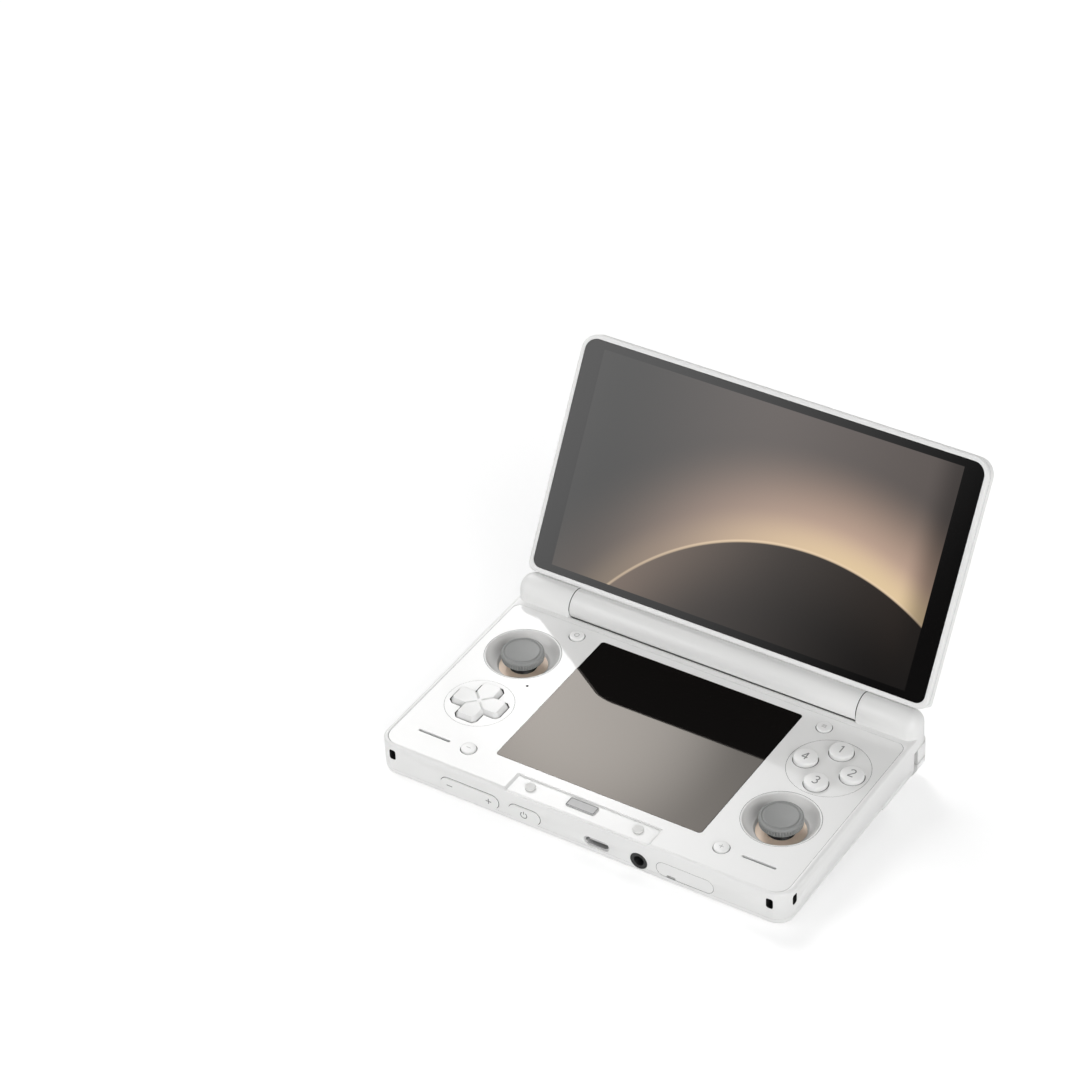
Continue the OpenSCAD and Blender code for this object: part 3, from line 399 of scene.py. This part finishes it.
def surface(name, rings, material, body, cap_first=False, cap_last=False, closed=True):
    """A surface through rings of points, shape (rings, points, 3) in row metres.

    Quads (ring k, point i), (k, i + 1), (k + 1, i + 1), (k + 1, i) join neighbouring rings and
    face outwards. A capped end is a fan about its mean point. Rings that aren't closed are open strips.
    """
    count, around = rings.shape[:2]
    points = rings.reshape(-1, 3)
    i = np.arange(around if closed else around - 1)
    j = (i + 1) % around
    rows = np.arange(count - 1)[:, None] * around
    faces = np.stack([rows + i, rows + j, rows + around + j, rows + around + i], -1).reshape(-1, 4).tolist()
    if cap_first:
        points = np.vstack([points, rings[0].mean(axis=0)])
        faces += np.stack([j, i, np.full(around, len(points) - 1)], -1).tolist()
    if cap_last:
        points = np.vstack([points, rings[-1].mean(axis=0)])
        base = (count - 1) * around
        faces += np.stack([base + i, base + j, np.full(around, len(points) - 1)], -1).tolist()
    mesh = bpy.data.meshes.new(name)
    mesh.from_pydata(points.tolist(), [], faces)
    mesh.validate()
    return link(name, mesh, material, body)


def arc(at, radius, start, stop, steps):
    """Points of a circular arc, its angles in degrees from the first axis towards the second."""
    a = np.radians(np.linspace(start, stop, steps))
    return np.stack([at[0] + radius * np.cos(a), at[1] + radius * np.sin(a)], -1)


def box_path(half, low, high, low_r, high_r, steps=10):
    """Rounded box outline, counter-clockwise, with one radius at its low and one at its high corners."""
    return np.vstack([arc((half - low_r, low + low_r), low_r, -90, 0, steps),
                      arc((half - high_r, high - high_r), high_r, 0, 90, steps),
                      arc((high_r - half, high - high_r), high_r, 90, 180, steps),
                      arc((low_r - half, low + low_r), low_r, 180, 270, steps)])


def pill_path(width, height, at=(0, 0)):
    """Pill outline about a point: two half circles."""
    half = (width - height) / 2
    return np.vstack([arc((at[0] + half, at[1]), height / 2, -90, 90, 24),
                      arc((at[0] - half, at[1]), height / 2, 90, 270, 24)])


def circle_path(radius, at=(0, 0), steps=96):
    """Circle outline about a point, without its last point."""
    return arc(at, radius, 0, 360, steps + 1)[:-1]


def spread(path, count):
    """A closed path resampled to evenly spaced points."""
    looped = np.vstack([path, path[:1]])
    run = np.concatenate([[0], np.cumsum(np.linalg.norm(np.diff(looped, axis=0), axis=1))])
    at = np.linspace(0, run[-1], count, endpoint=False)
    return np.stack([np.interp(at, run, looped[:, k]) for k in (0, 1)], -1)


def on_deck(path, z):
    """A flat path laid on the deck's level at height z."""
    return stand(path[:, 0], path[:, 1], z)


def on_front(path, depth):
    """A flat path, x along X and y along Z, put behind the front face by depth."""
    return stand(path[:, 0], FRONT_Y + depth, path[:, 1])


def lining(name, place, path, near, far):
    """Painted shade: a dark wall just inside an opening, the path carried from one level of place to another."""
    surface(name, np.stack([place(path, near), place(path, far)]), PAINTED_SHADE, "base")


def seam(name, place, path, half_width, level):
    """Painted shade line in a seam or slot of a face: a flat dark ring half_width to each side of the path, at one
    level of place.
    """
    rings = np.stack([place(inset(path, -half_width), level), place(inset(path, half_width), level)])
    surface(name, rings, PAINTED_SHADE, "base")


def inset(path, by):
    """A closed counter-clockwise path moved inwards by a distance, along its own normals."""
    along = np.roll(path, -1, axis=0) - np.roll(path, 1, axis=0)
    along /= np.linalg.norm(along, axis=1, keepdims=True)
    return path - by * np.stack([along[:, 1], -along[:, 0]], -1)


def turned_rings(profile, at, around=96):
    """A profile of (radius, z) carried round a vertical axis at the deck point at."""
    a = np.linspace(0, 2 * np.pi, around, endpoint=False)
    r, z = profile[:, :1], profile[:, 1:]
    return stand(at[0] + r * np.cos(a), at[1] + r * np.sin(a), z + 0 * a)


def stick_cap(side):
    """Cap turned from a profile: dished top, ring groove, round shoulder, ribbed wall, bevelled foot.

    The wall is cut back by a squared cosine of the turn, one groove to a rib, which fades at both ends.
    """
    dish_r, dish_deep, round_r, rib_deep, rib_top = 5.5, 0.28, 0.6, 0.45, 0.35
    dish = np.linspace(dish_r, 0.05, 12)
    top = np.stack([dish, CAP_TOP - dish_deep * (1 - (dish / dish_r) ** 2)], -1)
    groove = [[6.2, CAP_TOP], [6.08, CAP_TOP - 0.2], [5.82, CAP_TOP - 0.2], [5.7, CAP_TOP]]
    shoulder = arc((CAP_R - round_r, CAP_TOP - round_r), round_r, 0, 90, 7)
    wall = np.stack([np.full(18, CAP_R), np.linspace(CAP_LOW + 0.75, CAP_TOP - 0.75, 18)], -1)
    foot = [[1.8, CAP_LOW], [CAP_R - 0.8, CAP_LOW], [CAP_R - 0.65, CAP_LOW + 0.03],
            [CAP_R - 0.05, CAP_LOW + 0.62]]
    profile = np.vstack([foot, wall, shoulder, groove, top])
    a = np.linspace(0, 2 * np.pi, 12 * CAP_RIBS, endpoint=False)
    z = profile[:, 1:]
    share = np.clip((rib_top - z) / 0.25, 0, 1) * np.clip((z - CAP_LOW - 0.6) / 0.2, 0, 1)
    share = share * (profile[:, :1] > CAP_R - 0.01)
    r = profile[:, :1] - rib_deep * share * (0.5 + 0.5 * np.cos(CAP_RIBS * a)) ** 2
    x, y = STICKS[side]
    rings = stand(x + r * np.cos(a), y + r * np.sin(a), z + 0 * a)
    name = f"{side}_stick_cap"
    cap = surface(name + "_ribbed", rings, CAP, body_of[name], cap_last=True)
    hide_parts(name)


def well(side):
    """Bowl turned from a profile: a lip flush with the deck, an arc down, and a ledge for the floor."""
    lip_r, flange_low, ledge_r, ledge_thick = 0.12, -1.85, 8.2, 0.9
    lip = arc((WELL_R - 0.05 - lip_r, -lip_r), lip_r, 0, 90, 4)
    bowl = arc((6.4, 1.85), 6.1, -18.5, -68.5, 22)
    skirt = WELL_R - 0.75
    profile = np.vstack([
        [[skirt, flange_low], [WELL_R - 0.05, flange_low], [WELL_R - 0.05, -0.15]],
        lip, [[WELL_R - 0.4, 0.0]], bowl, [[ledge_r + 0.4, WELL_LOW], [ledge_r, WELL_LOW]],
        [[ledge_r, WELL_LOW - ledge_thick], [skirt, WELL_LOW - ledge_thick], [skirt, flange_low]]])
    name = f"{side}_well"
    rings = turned_rings(profile, STICKS[side], 160)
    bowl_piece = surface(name + "_turned", rings, WELL, "base")
    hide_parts(name)


def round_key(name, at, radius, up, rounding, dome):
    """Key turned from a profile: flange, wall, round shoulder, and a top that rises by dome."""
    t = np.linspace(1, 0.02, 10)
    edge = up - dome
    inner = radius - rounding
    top = np.stack([inner * t, edge + dome * (1 - t ** 2)], -1)
    rim, flange_thick = radius + 0.45, 0.8
    flange = [[rim, PLATE_LOW - flange_thick], [rim, PLATE_LOW], [radius, PLATE_LOW], [radius, 0.0]]
    profile = np.vstack([flange, arc((inner, edge - rounding), rounding, 0, 90, 8), top[1:]])
    key = surface(name + "_turned", turned_rings(profile, at), KEY, body_of[name],
                  cap_first=True, cap_last=True)
    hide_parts(name)
    return key


def pad_outline(grow, soften, count):
    """The cross's outline at even angles, moved out by grow: a chamfered arm turned four times.

    The corners are softened by a raised-cosine mean along the outline, over soften mm each way.
    """
    half, reach, bend = PAD_HALF + grow, PAD_REACH + grow, grow * math.tan(math.pi / 8) - PAD_CHAMFER
    arm = np.array([[half, -half], [PAD_REACH + bend, -half], [reach, -PAD_HALF - bend],
                    [reach, PAD_HALF + bend], [PAD_REACH + bend, half]])
    quarter = [arm @ np.array([[math.cos(a), math.sin(a)], [-math.sin(a), math.cos(a)]])
               for a in np.radians([0, 90, 180, 270])]
    fine = spread(np.vstack(quarter), 3600)
    step = np.linalg.norm(fine[1] - fine[0])
    reach_steps = int(soften / step)
    weight = 0.5 + 0.5 * np.cos(np.pi * np.arange(-reach_steps, reach_steps + 1) / (reach_steps + 1))
    weight /= weight.sum()
    soft = sum(w * np.roll(fine, s, axis=0) for w, s in zip(weight, range(-reach_steps, reach_steps + 1)))
    angle = np.arctan2(soft[:, 1], soft[:, 0])
    order = np.argsort(angle)
    angle, soft = angle[order], soft[order]
    angle = np.concatenate([angle - 2 * np.pi, angle, angle + 2 * np.pi])
    soft = np.vstack([soft] * 3)
    wanted = np.linspace(-np.pi, np.pi, count, endpoint=False)
    return np.stack([np.interp(wanted, angle, soft[:, k]) for k in (0, 1)], -1)


def direction_pad():
    """Cross key: walls that draw in by a draft, a rounded rim, and a top of height
    up - dish (1 - (r / reach)^2) - groove, where the groove is a V along each diagonal."""
    draft, rim, dish, groove_half, groove_deep = 0.68, 0.24, 0.3, 0.42, 0.5
    turns = np.radians(np.linspace(0, 90, 6))
    steps = [(0, PAD_LOW), (0, 0.05)] + [(-draft - rim * (1 - math.cos(t)), KEY_UP - rim * (1 - math.sin(t)))
                                         for t in turns]
    outlines = [pad_outline(grow, 0.25, 720) for grow, _ in steps]
    heights = [height for _, height in steps]
    inner = outlines[-1]
    for share in np.linspace(0.97, 0.02, 34):
        outlines.append(inner * share)
        heights.append(KEY_UP)
    flat = np.stack(outlines)
    z = np.zeros(flat.shape[:2]) + np.array(heights)[:, None]
    r = np.linalg.norm(flat, axis=-1)
    off = np.abs(np.abs(flat[..., 0]) - np.abs(flat[..., 1])) / math.sqrt(2)
    on_top = z > KEY_UP - rim - 0.01
    groove = np.clip(1 - off / groove_half, 0, 1) * np.clip((r - 0.7) / 0.6, 0, 1)
    z = z - on_top * (dish * (1 - (r / PAD_REACH) ** 2) + groove_deep * groove)
    rings = stand(PAD_AT[0] + flat[..., 0], PAD_AT[1] + flat[..., 1], z)
    pad = surface("direction_pad_shaped", rings, KEY, body_of["direction_pad"],
                  cap_first=True, cap_last=True)
    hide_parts("direction_pad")


def marks(name, target, body, at, across, up, lines, width):
    """Thin print on a face: each line of points, in mm along across and up from at, is widened to a
    ribbon, cast onto the target piece along the face's normal, and lifted off it by a hair."""
    above, reach, lift = 4, 12, 0.012
    across, up, at = np.array(turned(across)), np.array(turned(up)), stand(*at)
    normal = np.cross(across, up)
    skin = BVHTree.FromPolygons([v.co[:] for v in target.data.vertices],
                                [p.vertices[:] for p in target.data.polygons])
    points, faces = [], []
    for line in lines:
        line = np.array(line, float)
        along = np.gradient(line, axis=0)
        along /= np.linalg.norm(along, axis=1, keepdims=True)
        side = np.stack([-along[:, 1], along[:, 0]], -1) * width / 2
        start = len(points)
        for pair in zip(line + side, line - side):
            for x, y in pair:
                start_at = Vector(at + MM * (x * across + y * up + above * normal))
                hit = skin.ray_cast(start_at, Vector(-normal), reach * MM)[0]
                points.append(hit + Vector(normal) * lift * MM)
        steps = start + 2 * np.arange(len(line) - 1)
        faces += np.stack([steps + 1, steps + 3, steps + 2, steps], -1).tolist()
    mesh = bpy.data.meshes.new(name)
    mesh.from_pydata(points, [], faces)
    link(name, mesh, MARK, body)


def stroke(x0, y0, x1, y1, steps=8):
    """A straight stroke of a mark."""
    return np.linspace((x0, y0), (x1, y1), steps)


def numeral(number, size):
    """Strokes of a plain numeral about the origin, size mm high."""
    shapes = {
        1: [stroke(-0.17, 0.32, 0.04, 0.5, 4), stroke(0.04, 0.5, 0.04, -0.5)],
        2: [np.vstack([arc((0, 0.24), 0.26, 165, -40, 16), stroke(0.16, 0.02, -0.28, -0.5, 6)]),
            stroke(-0.28, -0.5, 0.3, -0.5)],
        3: [arc((0, 0.25), 0.25, 150, -90, 16), arc((0, -0.25), 0.26, 90, -150, 16)],
        4: [stroke(0.12, -0.5, 0.12, 0.5), stroke(0.12, 0.5, -0.3, -0.2, 6), stroke(-0.3, -0.2, 0.32, -0.2)],
    }
    return [size * line for line in shapes[number]]


EDGES = {
    "upper_case": 0.12, "lower_case": 0.12, "faceplate": 0.1, "lower_glass": 0.08, "pad_insert": 0.08,
    "button_insert": 0.08, "lid_back": 0.12, "lid_frame": 0.14, "lid_glass": 0.08, "barrel_cover": 0.06,
    "volume_rocker": 0.4, "power_button": 0.4, "card_cover": 0.15, "left_shoulder": 0.5,
    "right_shoulder": 0.5, "left_trigger": 0.5, "right_trigger": 0.5, "badge_plate": 0.1,
    "rubber_stops": 0.3, "usb_port": 0.06, "headphone_jack": 0.1, "feet": 0.1,
    "left_well_floor": 0.05, "right_well_floor": 0.05, "left_stick_shaft": 0.05, "right_stick_shaft": 0.05,
}
FINISH = {"lid_glass": LIT_GLASS, "left_stick_shaft": DOME, "right_stick_shaft": DOME}
piece = {node: finished(node, size, FINISH.get(node)) for node, size in EDGES.items()}


def sticks_and_wells():
    """Both sticks' caps and bowls, with a painted shade line round each bowl."""
    for side, at in STICKS.items():
        stick_cap(side)
        well(side)
        seam(f"{side}_well_seam", on_deck, circle_path(WELL_R, at, 160), *SEAM)


def pad_and_keys():
    """The pad and the face buttons in their inserts, with painted shade in the seams and slots round them."""
    direction_pad()
    seam("pad_insert_seam", on_deck, circle_path(PAD_R, PAD_AT, 160), *SEAM)
    seam("pad_slot", on_deck, pad_outline(PAD_GAP - 0.1, 0.3, 480) + PAD_AT, 0.1, -0.12)
    lining("pad_slot_wall", on_deck, pad_outline(PAD_GAP - 0.03, 0.3, 480) + PAD_AT, -0.3, -1.8)
    seam("key_insert_seam", on_deck, circle_path(KEYS_R, KEYS_AT, 160), *SEAM)
    for number, (name, angle) in enumerate(KEY_TURNS.items(), start=1):
        at = (KEYS_AT[0] + KEY_PITCH * math.cos(angle), KEYS_AT[1] + KEY_PITCH * math.sin(angle))
        key = round_key(name, at, KEY_R - KEY_IN, KEY_UP, 0.5, 0.1)
        seam(name + "_slot", on_deck, circle_path(KEY_R + SLOT_OUT, at), *KEY_SLOT)
        marks(name + "_numeral", key, body_of[name], (*at, KEY_UP), X_AXIS, Y_AXIS,
              numeral(number, 3.3), 0.42)


def small_keys():
    """Four small round keys with a plain mark each, and the painted shade in their slots."""
    signs = {
        "small_back_left": [arc((0, 0), 0.8, 0, 360, 24)],
        "small_back_right": [stroke(-0.8, s, 0.8, s) for s in (-0.5, 0, 0.5)],
        "small_front_left": [stroke(-0.8, 0, 0.8, 0)],
        "small_front_right": [stroke(-0.8, 0, 0.8, 0), stroke(0, -0.8, 0, 0.8)],
    }
    for name, lines in signs.items():
        at = (SMALL_X if name.endswith("right") else -SMALL_X,
              SMALL_BACK if "back" in name else SMALL_FRONT)
        key = round_key(name, at, SMALL_R - KEY_IN, SMALL_UP, 0.35, 0.06)
        seam(name + "_slot", on_deck, circle_path(SMALL_R + SLOT_OUT, at), *KEY_SLOT)
        marks(name + "_sign", key, body_of[name], (*at, SMALL_UP), X_AXIS, Y_AXIS, lines, 0.16)


def front_face():
    """Painted shade in the slots round the front keys and in the cord holes, and the keys' marks."""
    grow, slot_half, slot_depth = 0.2, 0.26, 0.03
    for name, (x, width) in FRONT_PILLS.items():
        path = pill_path(width + grow, PILL_H + grow, (x, FRONT_Z))
        seam(name + "_slot", on_front, path, slot_half, slot_depth)
    x = FRONT_PILLS["volume_rocker"][0]
    half, off_middle = 1.05, 7.4
    minus = [stroke(-half, 0, half, 0)]
    signs = {"volume_minus": (x - off_middle, minus),
             "volume_plus": (x + off_middle, minus + [stroke(0, -half, 0, half)])}
    for name, (sign_x, lines) in signs.items():
        marks(name, piece["volume_rocker"], "volume_rocker", (sign_x, FRONT_Y, FRONT_Z), X_AXIS, Z_AXIS,
              lines, 0.36)
    x = FRONT_PILLS["power_button"][0]
    marks("power_sign", piece["power_button"], "power_button", (x, FRONT_Y, FRONT_Z), X_AXIS, Z_AXIS,
          [arc((0, 0), 1.15, 125, 415, 28), stroke(0, 0.35, 0, 1.5)], 0.34)
    half_w, half_h, corner_r = CORD_HOLE
    hole = box_path(half_w, -half_h, half_h, corner_r, corner_r)
    x, z = CORD_AT
    in_side = hole + (FRONT_Y + HALF_X - x, z)
    for end, side in ENDS:
        lining(f"cord_hole_{end}", on_front, hole + (side * x, z), *CORD_WALL)
        rings = [stand(side * (HALF_X - depth), *in_side[::side].T) for depth in CORD_WALL]
        surface(f"cord_side_hole_{end}", np.stack(rings), PAINTED_SHADE, "base")


def deck_seams():
    """Painted shade in the deck's grooves and openings: round its plate, in the microphone hole, before the barrel
    and round its ends; and the grey mesh in the speaker slots.
    """
    plate = spread(box_path(PLATE_X, PLATE_FRONT, PLATE_REAR, *PLATE_CORNERS), 1400)

    def stepped(path, z):
        """On the deck's level, and lower by the recess, with its sloping ends, along the front edge."""
        slope = np.clip((RECESS_X + RECESS_SLOPE - np.abs(path[:, 0])) / RECESS_SLOPE, 0, 1)
        return on_deck(path, z - RECESS_D * slope * (path[:, 1] < PLATE_FRONT + 2))

    seam("plate_groove", stepped, plate, *SEAM)
    for end, side in ENDS:
        rings = on_deck(pill_path(*SPEAKER_SLOT, (side * SPEAKER_AT[0], SPEAKER_AT[1])), SPEAKER_LOW)[None]
        surface(f"slot_floor_{end}", rings, SLOT_FLOOR, "base", cap_last=True)
    lining("microphone_hole", on_deck, circle_path(MIC_R, MIC_AT, 32), -0.08, -1.8)
    # A painted shade band on the channel before the barrel, and painted shade rings round the barrel's ends
    turn = np.radians(np.linspace(31, 100, 24))[:, None]
    x = np.array([1, -1]) * (BARREL_X - 0.15)
    y = HINGE_Y - CHANNEL_R * np.cos(turn) + 0 * x
    z = HINGE_Z - CHANNEL_R * np.sin(turn) + 0 * x
    surface("barrel_channel_shade", stand(x + 0 * turn, y, z), PAINTED_SHADE, "base", closed=False)
    y, z = circle_path(HINGE_R + 0.004, (HINGE_Y, HINGE_Z)).T
    for end, side in ENDS:
        ring = [stand(side * (BARREL_X + 0.05) + step, y, z) for step in (-0.15, 0.15)]
        surface(f"barrel_seam_{end}", np.stack(ring), PAINTED_SHADE, "base")


def case_seams():
    """Painted shade lines where the two case halves and the two lid halves meet."""
    around = box_path(HALF_X - SEAM_IN, FRONT_Y + SEAM_IN, KEYS_Y, 6.0, 0.01)
    right, left = np.split(around, 2)
    jack = np.array([[x, FRONT_Y + SEAM_IN] for x in JACK_SPAN])
    runs = {"left": np.vstack([left, jack[:1]]), "right": np.vstack([jack[1:], right])}
    for end, run in runs.items():
        rings = np.stack([stand(run[:, 0], run[:, 1], SPLIT_Z + z) for z in (-0.05, 0.11)])
        surface(f"case_seam_{end}", rings, PAINTED_SHADE, "base", closed=False)
    rim = box_path(HALF_X - SEAM_IN, LID_LOW + SEAM_IN, LID_HIGH - SEAM_IN, 3.2, 6.0, 14)
    rings = np.stack([lid_at(rim[:, 0], rim[:, 1], LID_SEAM_W + w) for w in (-0.1, 0.1)])
    surface("lid_seam", rings, PAINTED_SHADE, "lid")


def key_slots():
    """Painted shade: dark walls in the open slots between the case and the outer front corners of the shoulder
    keys.
    """
    (front, back), (low, high) = CORNER_Y, CORNER_Z
    slot = np.array([[front, low], [back, low], [back, high], [front, high]])
    for end, side in ENDS:
        rings = stand(side * (HALF_X - CORNER_IN), *slot[::side].T)[None]
        surface(f"key_slot_{end}", rings, PAINTED_SHADE, "base", cap_last=True)


def badge_frame():
    """Thin dark line let into the badge's edge."""
    half_x, half_y = BADGE_HALF
    paths = [box_path(half_x - edge, edge - half_y, half_y - edge, corner_r, corner_r, 8) + BADGE_AT
             for edge, corner_r in ((0.16, 0.4), (0.42, 0.2))]
    rings = np.stack([on_deck(path, BADGE_UP - RECESS_D) for path in paths])
    surface("badge_line", rings, BADGE_LINE, "base")


def shoulder_numerals():
    """Plain numerals on the rear faces of the four shoulder keys."""
    for end, side in ENDS:
        for number, key in ((1, "shoulder"), (2, "trigger")):
            name = f"{end}_{key}"
            at = (side * SHOULDER_X, REAR_Y, SHOULDER_Z[key])
            marks(name + "_numeral", piece[name], body_of[name], at, (-1, 0, 0), Z_AXIS,
                  numeral(number, 2.4), 0.24)


sticks_and_wells()
pad_and_keys()
small_keys()
front_face()
deck_seams()
case_seams()
key_slots()
badge_frame()
shoulder_numerals()


# The table: half its width in metres, its matt white paint, and the light added to what the eye sees
TABLE_HALF, TABLE_WHITE, TABLE_GLOW = 6.0, "#e7e7e7", 0.42


def make_floor():
    """A wide pale table top, with a little light added for camera and mirror rays."""
    mesh = bpy.data.meshes.new("table_top")
    half = TABLE_HALF
    corners = [(-half, -half, 0), (half, -half, 0), (half, half, 0), (-half, half, 0)]
    mesh.from_pydata(corners, [], [(0, 1, 2, 3)])
    floor = bpy.data.objects.new("table_top", mesh)
    bpy.context.scene.collection.objects.link(floor)
    material = bpy.data.materials.new("white_table")
    material.use_nodes = True
    n = Nodes(material.node_tree)
    path = n.add("ShaderNodeLightPath")
    eye = n.add("ShaderNodeMath", {0: path.outputs["Is Camera Ray"], 1: path.outputs["Is Glossy Ray"]},
                operation="MAXIMUM").outputs[0]
    paint = n.add("ShaderNodeBsdfDiffuse", values={"Color": linear(TABLE_WHITE)})
    extra = n.add("ShaderNodeMath", {0: eye}, {1: TABLE_GLOW}, operation="MULTIPLY").outputs[0]
    glow = n.add("ShaderNodeEmission", {"Strength": extra})
    both = n.add("ShaderNodeAddShader", {0: paint.outputs[0], 1: glow.outputs[0]})
    n.add("ShaderNodeOutputMaterial", {"Surface": both.outputs[0]})
    mesh.materials.append(material)


# Direction in the deck's frame, radiance, and the angles in degrees where a box starts and ends to fade
SOFT_BOXES = (
    ((-0.580, 0.48, 0.66), 8.0, 5, 20),
    ((-0.417, 0.642, 0.643), 3.2, 0.5, 2.4),
    ((-0.670, -0.659, 0.342), 3.5, 15, 23.5),
    ((0.80, -0.48, 0.35), 4.0, 10, 38),
)
# A dark board before the lid, which the lid's glass mirrors, and the even level round it
DARK_BOARD = ((-0.31, -0.90, 0.31), 0.1, 6, 14)
WORLD_LEVEL = 0.3


def make_light():
    """World light: an even level with a dark board in it, and soft boxes that fade at their rims."""
    world = bpy.data.worlds.new("studio")
    bpy.context.scene.world = world
    world.use_nodes = True
    n = Nodes(world.node_tree)
    place = n.add("ShaderNodeTexCoord").outputs["Generated"]
    total = None
    for direction, strength, inner, outer in (DARK_BOARD, *SOFT_BOXES):
        aim = turned(direction).normalized()
        dot = n.add("ShaderNodeVectorMath", {0: place}, {1: aim}, operation="DOT_PRODUCT").outputs["Value"]
        start = 0.0 if total else WORLD_LEVEL
        low, high = math.cos(math.radians(outer)), math.cos(math.radians(inner))
        lobe = n.add("ShaderNodeMapRange", {"Value": dot},
                     {"From Min": low, "From Max": high, "To Min": start, "To Max": strength},
                     interpolation_type="SMOOTHSTEP").outputs["Result"]
        total = n.add("ShaderNodeMath", {0: total, 1: lobe}, operation="ADD").outputs[0] if total else lobe
    eye = n.add("ShaderNodeLightPath").outputs["Is Camera Ray"]
    seen = n.add("ShaderNodeMix", {"Factor": eye, "A": total}, {"B": 1.0}).outputs["Result"]
    back = n.add("ShaderNodeBackground", {"Strength": seen})
    n.add("ShaderNodeOutputWorld", {"Surface": back.outputs[0]})


make_floor()
make_light()
